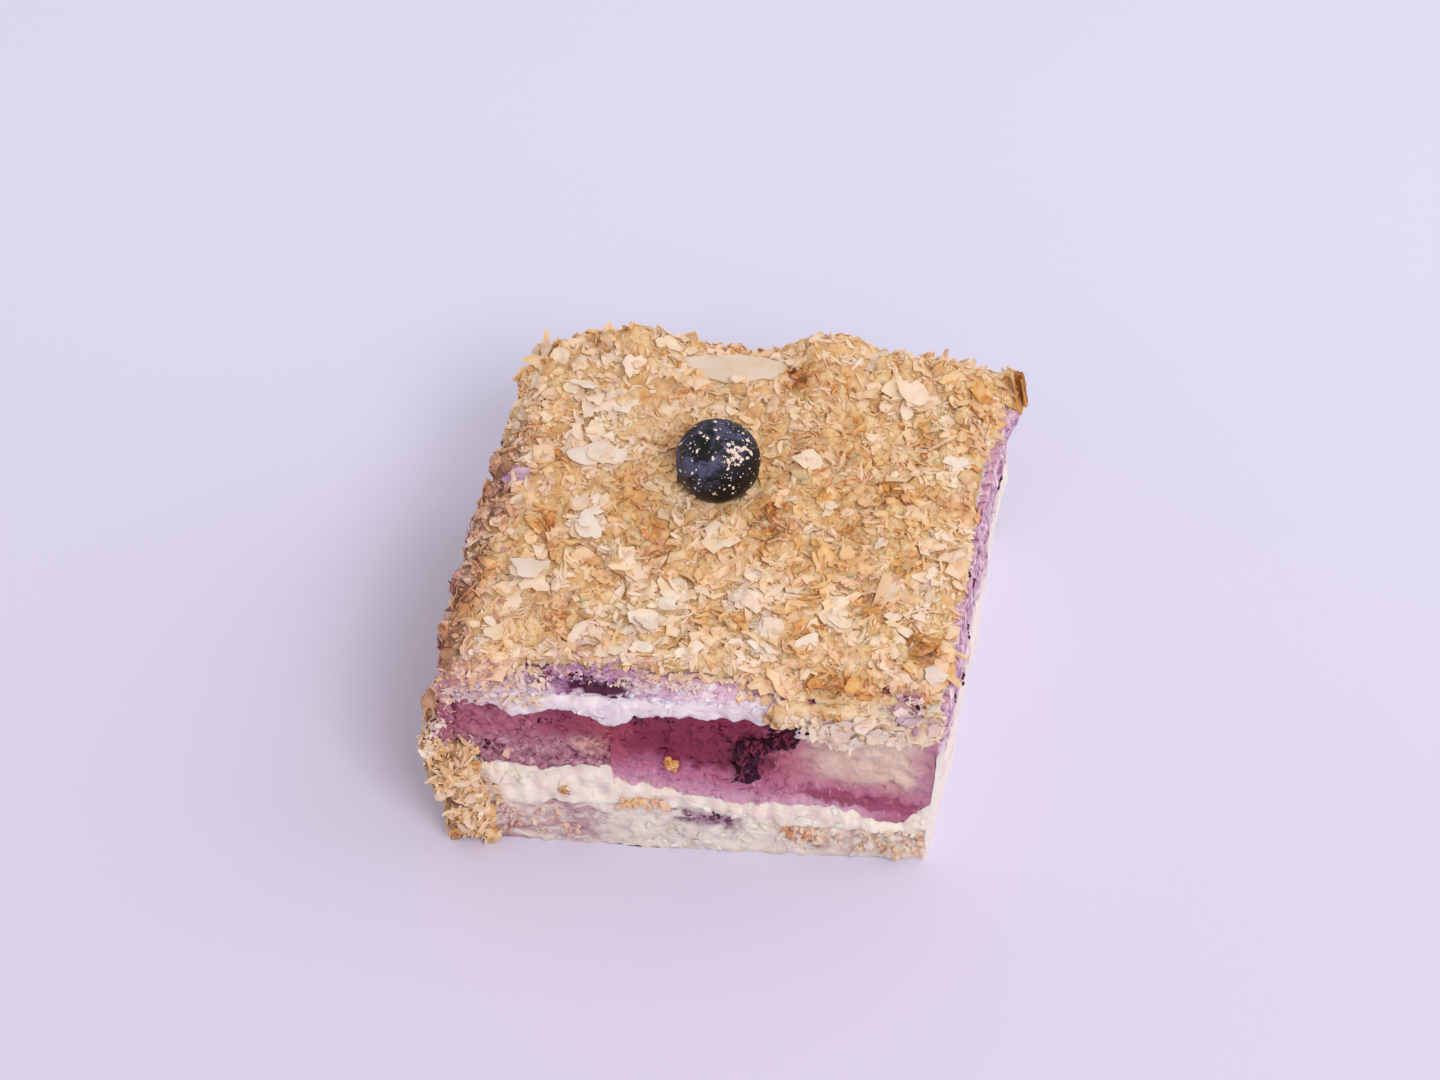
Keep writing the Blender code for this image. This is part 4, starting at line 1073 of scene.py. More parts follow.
# The smoothest and broadest ones: on the top seen from above, and on the lip seen from the front.
SMOOTH_PALE = (
    (-25.2, -6.4, 0.4, 1.2, 2, 3, 3.6, 0.02, 0.05), (-32.9, -18, 1.2, 0.4, 2, 3.2, 3.8, 0.02, 0.05),
    (-13.2, -25.8, 1, 0.6, 2, 3.4, 4, 0.02, 0.05), (-25.6, 9.6, 1, 0.8, 2, 3, 3.6, 0.04, 0.05),
    (1.2, -20, 0.6, 0.4, 1, 2.6, 3, 0.06, 0.05), (14.9, 1.4, 0.3, 0.3, 1, 1.9, 2.2, 0.04, 0.05),
    (23.8, -6.7, 0.3, 0.3, 1, 1.7, 2, 0.04, 0.05), (17.9, -22.2, 0.8, 0.6, 2, 2.8, 3.4, 0.08, 0.05),
    (35, 13.4, 0.4, 0.8, 1, 2.4, 2.8, 0.06, 0.08), (-38.4, -29.6, 0.4, 0.8, 1, 2.6, 3, 0.08, 0.05),
    (-29, 24, 0.8, 0.8, 1, 2.6, 3, 0.1, 0.04), (27, 27, 0.8, 0.8, 1, 2.6, 3, 0.12, 0.04),
    (13, -28.2, 0.6, 0.4, 1, 2.2, 2.6, 0.08, 0.05), (-5, 16, 0.6, 0.6, 1, 2, 2.4, 0.14, 0.04),
    (33.4, -32.6, 0.5, 1.6, 3, 1.6, 2.2, 0.04, 0.14), (20.4, -37, 0.2, 0.2, 1, 2.2, 2.4, 0.68),
    (14.3, -35.8, 0.2, 0.2, 1, 1.5, 1.7, 0.62), (30.9, -28.9, 0.3, 0.3, 1, 1.9, 2.1, 0.6),
    (25.4, -31.5, 0.2, 0.2, 1, 1.3, 1.5, 0.52, 0.05),
)
LIP_PLATES = (
    (17.6, 39.4, 1.4, 0.7, 4, 1.8, 2.3, 0.04, 0.1), (22.6, 39.2, 1.4, 0.7, 4, 1.5, 2, 0.04, 0.12),
    (29.4, 40, 1.5, 1.2, 6, 1.4, 2, 0, 0.5), (24, 37.4, 8, 0.8, 7, 1.8, 2.4, 0.04, 0.08),
    (26.5, 36.6, 0.2, 0.2, 1, 1.1, 1.3, 0.6), (19, 35.2, 5.6, 0.3, 9, 1.1, 1.5, 0, 0.08),
    (33.2, 39.4, 0.5, 1.6, 4, 1.2, 1.6, 0.1, 0.3), (-39.4, 13.6, 0.8, 1.2, 3, 1.4, 1.9, 0.04, 0.04),
    (-41.4, 18.6, 0.8, 1, 3, 1.2, 1.8, 0.44), (-42.6, 6.6, 0.7, 1.4, 2, 1.1, 1.5, 0.3, 0.02),
    (-45, 21.4, 0.7, 1.2, 3, 1.2, 1.6, 0.5), (-47.8, 24.6, 0.4, 0.8, 2, 1, 1.4, 0, 0.04),
    (-46.4, 30.4, 0.3, 0.6, 2, 0.9, 1.2, 0, 0.08),
)

# Crumbs stained by the berry cream under them, along the front edge seen from above, and bits of
# berry skin among them.
LILAC_EDGE = (
    (-21.5, -35.4, 7.5, 1.1, 170, 0.5, 1.2, 0, 0.85), (-26.5, -35.6, 3, 0.8, 24, 0.4, 0.9, 0.7, 0.9),
    (-16, -34.8, 3.6, 1.1, 60, 0.5, 1.1, 0, 0.7), (-31, -37.4, 2.5, 1, 26, 0.5, 1.2, 0, 0.35),
    (-10, -36.8, 6, 0.8, 40, 0.4, 1, 0, 0.35), (29.4, -39.2, 2, 1.4, 36, 0.5, 1.2, 0, 0.6),
)
EDGE_SKINS = (
    (25.8, -36.6, 0.5, 0.9, 8, 0.3, 0.6), (28.7, -38.4, 1, 0.3, 10, 0.3, 0.6),
    (31.3, -38.9, 1, 0.3, 12, 0.3, 0.6), (13.8, -39.6, 0.5, 0.4, 7, 0.3, 0.6),
    (-28.6, -35.9, 0.8, 0.4, 8, 0.3, 0.6), (-24.6, -35.9, 1.2, 0.4, 9, 0.3, 0.6),
)

# Crumbs of the soaked sponge beside the left front corner: x and z.
CORNER_CRUMBS = ((-44.4, 31.8, 1.9, 4.2, 120, 0.5, 1.3),)

# Knots of browned flakes, seen from above.
BROWN_KNOTS = (
    (7.8, 28.7, 1.5, 1.8, 18, 0.6, 1.2, 0.74), (9.4, 25.6, 0.8, 0.9, 6, 0.4, 0.9, 0.95, 0.1),
    (8.8, 15, 1.6, 2, 16, 0.6, 1.2, 0.78), (-34.6, 14.6, 1.6, 1.8, 12, 0.5, 1, 0.74),
    (-23.2, 37.8, 3, 0.9, 14, 0.5, 1, 0.7), (4.6, 0.4, 1.2, 1.4, 12, 0.4, 0.9, 0.9),
    (2.6, -2.6, 0.8, 1, 6, 0.4, 0.8, 1, 0.15), (5, -6.4, 0.8, 1.8, 8, 0.4, 0.9, 0.8),
    (22.4, 7.6, 2, 0.8, 10, 0.4, 0.9, 0.88), (27.4, 5.6, 1.6, 0.8, 8, 0.4, 0.8, 0.95, 0.1),
    (-13.4, -8.6, 2.6, 1.4, 18, 0.5, 1.1, 0.7), (-10, -11.6, 1.6, 0.6, 5, 0.4, 0.8, 0.85),
    (-20.8, 4.6, 1.4, 1.8, 12, 0.5, 1, 0.62), (-31.5, -5.8, 1.6, 1.8, 14, 0.5, 1.1, 0.66),
    (-29.1, -25.3, 2.6, 1.8, 16, 0.5, 1.2, 0.62), (31.2, -27.4, 2, 1.6, 12, 0.5, 1.1, 0.66),
    (22.2, -19.5, 1.8, 1.4, 9, 0.4, 0.9, 0.7), (13.4, -18, 1.2, 1.8, 8, 0.4, 0.9, 0.74),
    (19.4, -37, 3.4, 1.2, 26, 0.6, 1.3, 0.7), (-36.6, 15.4, 1.2, 1.2, 8, 0.4, 0.9, 0.8),
    (-37.4, 5.4, 1.4, 1.6, 18, 0.4, 1, 0.85, 0.7), (-40.6, -3, 1.2, 3, 16, 0.4, 1, 0.8, 0.3),
    (-42.6, -14, 1.2, 5, 24, 0.4, 1, 0.78, 0.25), (-44.4, -27, 1.2, 6, 26, 0.4, 1, 0.78, 0.25),
    (-38.6, 15, 1, 5, 18, 0.4, 1, 0.7, 0.15),
)

# Where berry has stained the crumbs: x, y, z, reach and how much.
STAINED = (
    (-38.4, 4.9, 41, 2.4, 0.75), (-42.5, -8, 38, 3, 0.5), (29.2, -39.6, 41, 2.8, 0.7),
    (-24, -34.5, 41, 6, 0.3), (-44, -38, 37.5, 5, 0.5), (-46, -30, 34, 7, 0.34), (-44, -18, 37, 7, 0.3),
    (-41, -1, 38, 6, 0.32), (-40, 10, 39, 5, 0.2),
)


def left_edge(y):
    """Where the left edge of the top lies."""
    return LEFT_AT_MIDDLE + EDGE_SLANT * y


def tones_of(places, rng, base, spread):
    """How brown each flake is: in patches, with chance on top, and browner near the top's left edge as
    painted shade.
    """
    tones = np.zeros(len(places))
    for i, (x, y, z) in enumerate(places):
        patch = 0.5 * waver(x, y + z, 7.0, 51.0) + 0.46 * waver(x, y + z, 2.8, 52.0)
        patch -= 0.34 * ramp(x, 6.0, 14.0) * ramp(y, -37.0, -38.5) * ramp(z, 40.4, 38.0)
        brown = sum(
            much * bell(math.hypot(x - bx, y - by), 0.0, reach) for bx, by, reach, much in BROWNED
        )
        # Flakes near the top's left edge are browner: painted shade on the side that faces away from the
        # light.
        left = ramp(x, left_edge(y) + 3.0, left_edge(y)) * ramp(y, 30.0, 10.0) * ramp(z, 24.0, 30.0)
        pale_corner = ramp(x, -44.0, -46.5) * ramp(y, -34.0, -38.0) * bell(z, 29.0, 6.0)
        tones[i] = base + patch + 0.18 * left - 0.4 * pale_corner + (brown if z > 36.0 else 0.04)
    return np.clip(tones + rng.normal(0.0, spread, len(places)), 0.0, 1.0)


def stains_of(places, rng):
    """How much berry juice each flake has taken up."""
    stains = np.zeros(len(places))
    for x, y, z, reach, much in STAINED:
        far = np.linalg.norm(places - np.array([x, y, z]), axis=1) / reach
        stains += much * np.exp(-(far**2))
    return np.clip(stains * rng.uniform(0.3, 1.4, len(places)), 0.0, 0.9)


# Flakes are larger at the front of the top than behind it, and small on the front edge: y and share.
SIZES_ALONG = ((-18.0, 8.0), (1.2, 1.0))
FRONT_EDGE = -37.0
FRONT_EDGE_SIZE = 0.55
SIZE_POWER = 1.8


def strewn(name, skin, rng, shapes, count, size, lean, tone, spread, sunk):
    """A piece made of one kind of flake all over the coat."""
    places, normals = skin.strew(count, rng)
    across = mostly_small(rng, len(places), *size, SIZE_POWER)
    across *= np.interp(places[:, 1], *SIZES_ALONG)
    across *= np.where(places[:, 1] < FRONT_EDGE, FRONT_EDGE_SIZE, 1.0)
    sizes = np.stack([across, across * rng.uniform(0.7, 1.0, len(places)), across], axis=1)
    heights = rng.uniform(*sunk, (len(places), 1))
    axes = facing_out(normals, rng, lean)
    tones = tones_of(places, rng, tone, spread)
    stains = stains_of(places, rng)
    return joined(name, shapes, rng, places + normals * heights, axes, sizes, tones, stains)


# How much a placed crumb follows the surface under it, and how much the way it was thrown from.
PLACED_SURFACE_SHARE = 0.55
PLACED_WAY_SHARE = 0.45
# How far its tone strays, and how far its middle lies above the surface for its thickness.
TONE_SPREAD = 0.08
STANDS_OUT = 0.25


def sprinkled(name, skin, way, rng, shapes, groups, lean, thick, raised=0.0):
    """A piece of crumbs in groups."""
    rows, spots = [], []
    for a, b, reach_a, reach_b, count, least, most, *marks in groups:
        tone, stain = (*marks, 0.0, 0.0)[:2]
        for _ in range(count):
            at = (a + reach_a * rng.uniform(-1.0, 1.0), b + reach_b * rng.uniform(-1.0, 1.0))
            place, normal = skin.struck(way, *at)
            across = rng.uniform(least, most)
            mark = (tone + rng.normal(0.0, TONE_SPREAD), stain * rng.uniform(0.3, 1.5))
            if place is not None:
                spots.append((*place, *normal))
                rows.append((across, across * rng.uniform(0.6, 1.0), across * thick, *mark))
    spots, rows = np.array(spots), np.clip(np.array(rows), 0.0, None)
    places = spots[:, :3]
    normals = PLACED_SURFACE_SHARE * spots[:, 3:] - PLACED_WAY_SHARE * np.array(way[1])
    normals /= np.linalg.norm(normals, axis=1, keepdims=True)
    axes = facing_out(normals, rng, lean)
    heights = rows[:, 2:3] * STANDS_OUT + raised
    return joined(
        name, shapes, rng, places + normals * heights, axes, rows[:, :3], rows[:, 3], rows[:, 4]
    )


def tuft_share(place):
    """1 on the tuft at the left front corner and 0 elsewhere."""
    return ramp(place.y, -38.0, -38.8) * ramp(place.x, -34.0, -36.0) * ramp(place.z, 28.0, 24.0)


def make_crumb_bed():
    piece = copy_of("crumb_coat", "crumb_bed")

    def looks_out(face):
        return face.normal.z > 0.1 or face.normal.x < -0.3 or abs(face.normal.y) > 0.3

    refine(piece, looks_out, BED_GRAIN)

    def move(place, normal):
        x, y, z = place
        off = max(abs(c - m) / half for c, m, half in zip((x, y), SHEET_CENTRE, SHEET_HALF_SIZE))
        heap = 1.5 * noise.noise(place / 4.2) + 0.8 * noise.noise(place / 1.8)
        heap *= 1.0 if z < TOP_LEVEL else ramp(off, 0.9, 1.3)
        rough = max(-0.5, 0.1 + heap + 0.25 * noise.noise(place / 0.7))
        at_curl = math.hypot(x - CURL_FOOT[0] - 1.0, y - CURL_FOOT[1]) < CURL_REACH and z > CURL_LEVEL
        back_end = ramp(x, 33.0, 36.5) * ramp(z, 37.0, 32.0) * ramp(y, 25.0, 32.0)
        rough *= (0.1 if at_curl else 1.0) * (1.0 - back_end)
        aside = 1.6 * waver(z, x, 3.0, 71.0) * tuft_share(place) - 1.8 * back_end
        aside -= 3.2 * ramp(y, -37.4, -38.6) * ramp(x, -41.5, -36.5) * ramp(z, 11.0, 1.0)
        sag = CURL_SAG if at_curl else Vector()
        dx, dy, dz = normal * rough + sag
        if at_curl:
            up = z - CURL_FOOT[2]
            dx -= CURL_TILT * up + 0.4 * (x - CURL_FOOT[0] - 0.2 * up)
        drawn_in = 1.2 * ramp(y, -39.0, -41.0) * ramp(z, 9.0, 1.0)
        return dx + aside, dy + drawn_in, dz, 0.0

    press(piece, move)
    return finish_off(piece, finish_crumb_bed(), "flaky_pastry", "crumb_coat", smooth=CRUMB_ANGLE)


def make_pale_sheet(skin):
    """A smooth pale sheet of pastry near the back, tilted to the front and torn at its ends."""
    place, _ = skin.struck(Skin.DOWN, *SHEET_CENTRE)
    bpy.ops.object.select_all(action="DESELECT")
    bpy.ops.mesh.primitive_grid_add(
        x_subdivisions=SHEET_GRID[0], y_subdivisions=SHEET_GRID[1], size=2.0 * MM,
        location=in_frame(place.x, place.y, place.z + SHEET_LIFT), rotation=(SHEET_SLOPE, 0.0, 0.0),
    )
    piece = bpy.context.active_object
    piece.name = "pale_pastry_sheet"
    piece.scale = (*SHEET_HALF_SIZE, 1.0)
    bpy.ops.object.transform_apply(location=True, rotation=True, scale=True)

    def move(place, normal):
        along = (place.x - SHEET_CENTRE[0]) / SHEET_HALF_SIZE[0]
        over = place.y - SHEET_CENTRE[1]
        narrow = 1.0 - 0.65 * abs(along) ** 2.5 + 0.5 * waver(place.x, over, 3.0, 61.0)
        torn = 1.6 * waver(over, along, 1.6, 62.0) * abs(along)
        fold = 0.7 * waver(place.x, over * 0.4, 6.0, 63.0) + 0.1 * waver(place.x, over, 1.6, 64.0)
        return torn, over * (narrow - 1.0), fold, 0.0

    press(piece, move)
    add_thickness(piece, SHEET_THICK)
    return finish_off(piece, finish_pale_sheet(), "flaky_pastry", smooth=CRUMB_ANGLE)


def add_thickness(piece, thick):
    """Makes a sheet solid and rounds it off."""
    take_up(piece)
    shell = piece.modifiers.new("shell", "SOLIDIFY")
    shell.thickness = thick * MM
    bpy.ops.object.modifier_apply(modifier=shell.name)
    rounder = piece.modifiers.new("rounder", "SUBSURF")
    rounder.levels = rounder.render_levels = 1
    bpy.ops.object.modifier_apply(modifier=rounder.name)


def make_rolled_flake():
    """A browned curl of pastry that stands at the back right corner, open towards the front."""
    bpy.ops.object.select_all(action="DESELECT")
    middle = in_frame(*(Vector(CURL_FOOT) + CURL_SAG)) + Vector(
        (math.sin(CURL_LEAN[1]), -math.sin(CURL_LEAN[0]), 1.0)
    ) * (CURL_HEIGHT / 2 * MM)
    bpy.ops.mesh.primitive_cylinder_add(
        vertices=CURL_SIDES, radius=CURL_RADIUS * MM, depth=CURL_HEIGHT * MM, end_fill_type="NOTHING",
        location=middle, rotation=(*CURL_LEAN, 0.0),
    )
    piece = bpy.context.active_object
    piece.name = "browned_pastry_curl"
    bpy.ops.object.transform_apply(location=True, rotation=True, scale=True)
    bpy.ops.object.mode_set(mode="EDIT")
    bpy.ops.mesh.select_mode(type="FACE")
    bpy.ops.mesh.select_all(action="DESELECT")
    body = bmesh.from_edit_mesh(piece.data)
    for face in body.faces:
        face.select_set(face.normal.y < CURL_OPENING)
    bmesh.update_edit_mesh(piece.data)
    bpy.ops.mesh.delete(type="FACE")
    bpy.ops.mesh.select_all(action="SELECT")
    bpy.ops.mesh.subdivide(number_cuts=3)
    bpy.ops.object.mode_set(mode="OBJECT")

    def move(place, normal):
        crinkle = 0.35 * waver(place.x, place.z, 1.8, 66.0)
        ragged_top = 0.9 * waver(place.x * 2.0, place.y, 1.2, 67.0) * ramp(place.z, 42.5, 45.5)
        return normal.x * crinkle, normal.y * crinkle, ragged_top, 0.0

    press(piece, move)
    add_thickness(piece, CURL_THICK)
    return finish_off(piece, finish_rolled_flake(), "flaky_pastry", smooth=CRUMB_ANGLE)


# Crumbs that have fallen on the lilac cream along the front edge, seen from above.
SPILLED = (
    (-39, -36.2, 5.5, 2.6, 150, 0.4, 1.2, 0.25, 0.25), (-27, -34.2, 9, 1.3, 130, 0.5, 1.4, 0.22, 0.15),
    (-27, -36, 9, 1, 20, 0.3, 0.8, 0, 0.4), (-8, -34, 11, 1.3, 170, 0.5, 1.5, 0.22, 0.08),
    (-8, -36.4, 11, 1.6, 50, 0.3, 0.9, 0.05, 0.2), (7, -36, 5, 2.6, 150, 0.4, 1.4, 0.35, 0.05),
)

# Crumbs that cling to the cut face: x and z of the middle.
CLINGING = (
    (-40, 38.2, 4.6, 2.8, 50, 0.3, 0.8, 0.1, 0.45), (-33, 36.4, 3, 1.6, 20, 0.3, 0.8, 0.05, 0.2),
    (-8.7, 24, 1, 1.2, 16, 0.4, 0.9, 0.62), (-13.5, 11.6, 4, 1, 36, 0.4, 1, 0.42, 0.1),
    (-26, 3.8, 1.6, 1, 14, 0.4, 0.8, 0.4, 0.3), (-32.5, 5.5, 5, 3.4, 46, 0.3, 0.8, 0.35, 0.35),
    (11.5, 6.3, 2.6, 1.3, 22, 0.35, 0.9, 0.66, 0.15), (17, 5, 9, 2.4, 44, 0.35, 0.8, 0.26, 0.1),
    (28.5, 3.6, 4.6, 2, 28, 0.35, 0.8, 0.36, 0.08), (27, 7.4, 5, 1, 20, 0.3, 0.7, 0.2),
    (8.6, 35.4, 2.2, 1.2, 26, 0.5, 1.1, 0.5), (24, 35.6, 9.5, 2.6, 20, 0.4, 0.9, 0.05, 0.1),
)
FACE_FLAKES = (
    (-41.5, 38.6, 4, 1.8, 70, 0.5, 1.4, 0.04, 0.34), (-33, 37.6, 4, 1.4, 40, 0.5, 1.3, 0.02, 0.22),
    (-46.4, 29.4, 1, 4, 22, 0.5, 1.2, 0.04, 0.4), (-47, 31.6, 1.2, 1.4, 16, 0.7, 1.4, 0, 0.06),
    (-48, 28, 0.9, 2.4, 12, 0.7, 1.4), (-41, 42.6, 3.6, 1.4, 40, 0.5, 1.2, 0.5, 0.4),
    (20, 35.8, 10, 2.2, 30, 0.8, 1.8, 0.04, 0.08), (22, 38.6, 9, 1, 34, 0.6, 1.4, 0.2, 0.06),
    (28.6, 41, 2.4, 1.6, 26, 0.5, 1.2, 0.04, 0.5), (-47.4, 34, 0.8, 5, 26, 0.5, 1.2, 0.1, 0.32),
    (16.6, 40.4, 1.8, 0.6, 8, 0.6, 1.2, 0.6), (26, 34.6, 1, 0.7, 7, 0.6, 1.1, 0.6),
    (-44, 20, 3.4, 5, 60, 0.6, 1.6, 0.34), (-41.5, 12, 4, 4, 60, 0.6, 1.6, 0.28),
    (-42, 4, 2.4, 3, 34, 0.4, 1.3, 0.3, 0.05), (-48.4, 25, 1, 1.8, 16, 0.7, 1.4),
    (-39.4, 13, 1.6, 2, 9, 1, 1.8, 0.06), (-41, 18.4, 1.2, 1.6, 6, 0.9, 1.6, 0.1),
)
SLIVERS = (
    (-26.6, 15.2, 0.25, 0.9, 5, 0.9, 1.3, 0.72), (-45, 20, 3.6, 6, 40, 0.8, 1.8, 0.36),
    (-42.5, 9, 3, 6, 36, 0.7, 1.7, 0.42, 0.04),
)

# Bits of dark berry skin on the cut face, and on the right side by y and z.
DARK_BITS = (
    (-13.9, 33.6, 1.2, 0.5, 10, 0.3, 0.6), (-9.8, 34.1, 1.6, 0.5, 8, 0.25, 0.5),
    (9.6, 33, 3, 0.9, 26, 0.3, 0.8), (-29, 31.8, 2, 0.6, 8, 0.25, 0.5), (-38, 24.2, 2.2, 1.2, 10, 0.3, 0.6),
    (3.4, 25, 2.2, 4.8, 34, 0.3, 0.8), (8, 30.8, 3.6, 1.2, 24, 0.3, 0.7),
    (12.8, 35.8, 0.9, 1.6, 7, 0.3, 0.6), (10.6, 6.4, 0.9, 0.5, 5, 0.25, 0.5),
    (-1.6, 9.6, 1, 0.5, 5, 0.25, 0.5),
)
SMEARS = (
    (34.4, 38.4, 0.6, 0.4, 8, 0.3, 0.6), (6, 28, 3, 2.2, 10, 0.5, 1.1),
)
SIDE_BITS = (
    (-9, 38, 0.6, 1.6, 10, 0.3, 0.7), (-14.5, 31.5, 1.2, 1.6, 8, 0.25, 0.5),
    (-21.9, 28, 0.6, 1.2, 6, 0.3, 0.6), (-32, 35, 0.6, 0.8, 5, 0.25, 0.5), (18, 33, 1.2, 1.4, 7, 0.25, 0.6),
)

# Flakes on the ends of the back crumbs and of the lip, at the right: y and z.
END_FLAKES = (
    (36.5, 19.5, 1.4, 18.8, 300, 0.7, 1.7, 0.36), (-39.7, 37, 1.2, 3.4, 36, 0.5, 1.2, 0.1, 0.1),
)

# What is placed in groups: name, way, shapes, groups, lean, thickness and how far it is raised.
PLACED_PASTRY = (
    ("spilled_flakes", Skin.DOWN, "small", SPILLED, 0.3, 1.0, 0.0),
    ("clinging_crumbs", Skin.INWARD, "lumps", CLINGING, 0.4, 1.0, 0.0),
    ("face_flakes", Skin.INWARD, "small", FACE_FLAKES, 0.5, 1.0, 0.0),
    ("pastry_slivers", Skin.INWARD, "strips", SLIVERS, 0.3, 1.0, 0.0),
    ("broad_pale_flakes", Skin.DOWN, "sheets", LARGE_PALE, 0.1, 0.4, 0.4),
    ("smooth_pale_plates", Skin.DOWN, "plates", SMOOTH_PALE, 0.07, 0.35, 0.75),
    ("smooth_lip_plates", Skin.INWARD, "plates", LIP_PLATES, 0.1, 0.3, 0.6),
    ("lilac_edge_flakes", Skin.DOWN, "small", LILAC_EDGE, 0.35, 1.0, 0.4),
    ("brown_knots", Skin.DOWN, "small", BROWN_KNOTS, 0.4, 1.0, 0.0),
)
PLACED_SKINS = (
    ("berry_skin_bits", Skin.INWARD, "lumps", DARK_BITS, 0.3, 1.0, 0.0),
    ("berry_skin_smears", Skin.INWARD, "small", SMEARS, 0.12, 1.0, 0.0),
    ("side_skin_bits", Skin.LEFTWARD, "lumps", SIDE_BITS, 0.3, 1.0, 0.0),
    ("edge_skin_bits", Skin.DOWN, "small", EDGE_SKINS, 0.3, 1.0, 0.6),
)
PLACED_MAUVE = (("mauve_corner_crumbs", Skin.INWARD, "lumps", CORNER_CRUMBS, 0.3, 0.5, 0.0),)
PLACED_ENDS = (("end_flakes", Skin.LEFTWARD, "small", END_FLAKES, 0.4, 1.0, 0.0),)


def place_crumbs(rows, skin, rng, shapes, material, slot, smooth=FLAKE_ANGLE):
    for name, way, kind, *how in rows:
        piece = sprinkled(name, skin, way, rng, shapes[kind], *how)
        finish_off(piece, material, slot, smooth=smooth)


FACE_PIECES = (*LAYER_SLOTS, "smooth_side_cream", "crushed_berry_skins", "crumb_bed")

# Crumbs torn loose from each layer at the cut face, as groups by x and z.
TORN = (
    ("plain_sponge_layer", (-1, 4.8, 34, 4.2, 90, 0.5, 1.3)),
    ("lower_cream_layer", (-2, 13, 38, 6.5, 24, 0.6, 1.2)),
    ("mauve_sponge_piece", (-31, 27, 12.5, 7.5, 170, 0.4, 1.2)),
    ("magenta_sponge_piece", (-3, 24, 14, 10, 190, 0.4, 1.2)),
    ("upper_cream_layer", (-4, 35.5, 40, 2.6, 24, 0.5, 1)),
    ("lilac_cream_layer", (-18, 39, 26, 1.4, 160, 0.4, 1.1)),
)
TORN_LEAN = 0.3
TORN_THICK = 0.45


def make_torn_crumbs(rng, lumps):
    """Each layer's own crumbs stand out of the cut face, in the layer's finish."""
    for layer, group in TORN:
        source = bpy.data.objects[layer]
        name = layer.replace("_layer", "").replace("_piece", "") + "_crumbs"
        piece = sprinkled(name, Skin(source), Skin.INWARD, rng, lumps, (group,), TORN_LEAN, TORN_THICK)
        finish_off(piece, source.data.materials[0], LAYER_SLOTS[layer], smooth=CRUMB_ANGLE)


# Crumbs on the berry: how many, and their sizes with the power for mostly_small.
BERRY_SPECKS = 190
SPECK_SIZES = (0.1, 0.5, 3)
SPECK_TONE = 0.0
SPECK_STAIN = 0.05
SPECK_LEAN = 0.3
# No line towards the berry starts nearer to its middle.
OUTSIDE_BERRY = 20.0
# The cluster at one spot of the berry, by its direction from the berry's middle and its spread.
CLUSTER_SPECKS = 60
CLUSTER_SIZES = (0.15, 0.75, 2)
CLUSTER_TONE = 0.1
CLUSTER_STAIN = 0.14
CLUSTER_MIDDLE = np.array([0.42, -0.5, 0.75])
CLUSTER_SPREAD = np.array([0.13, 0.22, 0.2])


def make_berry_specks(rng, lumps, crumb_finish):
    """White specks all over the berry, and a cluster of crumbs right of its middle."""
    directions = rng.normal(0.0, 1.0, (BERRY_SPECKS, 3))
    directions[:, 2] = np.abs(directions[:, 2]) - 0.15
    cluster = CLUSTER_MIDDLE + rng.normal(0.0, 1.0, (CLUSTER_SPECKS, 3)) * CLUSTER_SPREAD
    directions = np.vstack([directions, cluster])
    directions /= np.linalg.norm(directions, axis=1, keepdims=True)
    crowded = np.arange(len(directions)) >= BERRY_SPECKS
    fine = mostly_small(rng, len(directions), *SPECK_SIZES)
    across = np.where(crowded, mostly_small(rng, len(directions), *CLUSTER_SIZES), fine)
    berry = Skin(bpy.data.objects["whole_blueberry"])
    places = []
    for direction in directions:
        out = Vector(direction)
        places.append(berry.tree.ray_cast(BERRY_CENTRE + out * OUTSIDE_BERRY, -out)[0])
    sizes = np.stack([across, across * 0.8, across * 0.5], axis=1)
    tones = np.where(crowded, CLUSTER_TONE, SPECK_TONE)
    stains = np.where(crowded, CLUSTER_STAIN, SPECK_STAIN)
    axes = facing_out(directions, rng, SPECK_LEAN)
    piece = joined("berry_specks", lumps, rng, np.array(places), axes, sizes, tones, stains)
    return finish_off(piece, crumb_finish, "flaky_pastry", smooth=FLAKE_ANGLE)


# What is strewn over the whole coat: name, shapes, count, sizes, lean, tone and its spread, and how
# far it stands out.
STREWN = (
    ("large_pale_flakes", "sheets", 1000, (1.4, 3.4), 0.16, 0.28, 0.03, (-0.1, 0.3)),
    ("pale_flakes", "broad", 3900, (0.8, 2.1), 0.24, 0.34, 0.03, (-0.1, 0.35)),
    ("golden_flakes", "small", 5600, (0.5, 1.4), 0.34, 0.42, 0.05, (-0.1, 0.35)),
    ("pastry_shreds", "strips", 2600, (0.6, 1.8), 0.25, 0.36, 0.06, (0.05, 0.45)),
    ("layered_flakes", "stacks", 560, (0.8, 1.8), 0.35, 0.34, 0.05, (-0.1, 0.3)),
    ("browned_flakes", "small", 420, (0.3, 0.9), 0.4, 0.66, 0.08, (0.0, 0.45)),
    ("fine_crumbs", "lumps", 3600, (0.15, 0.45), 0.6, 0.34, 0.06, (0.05, 0.4)),
)
CHANCE_SEED = 7

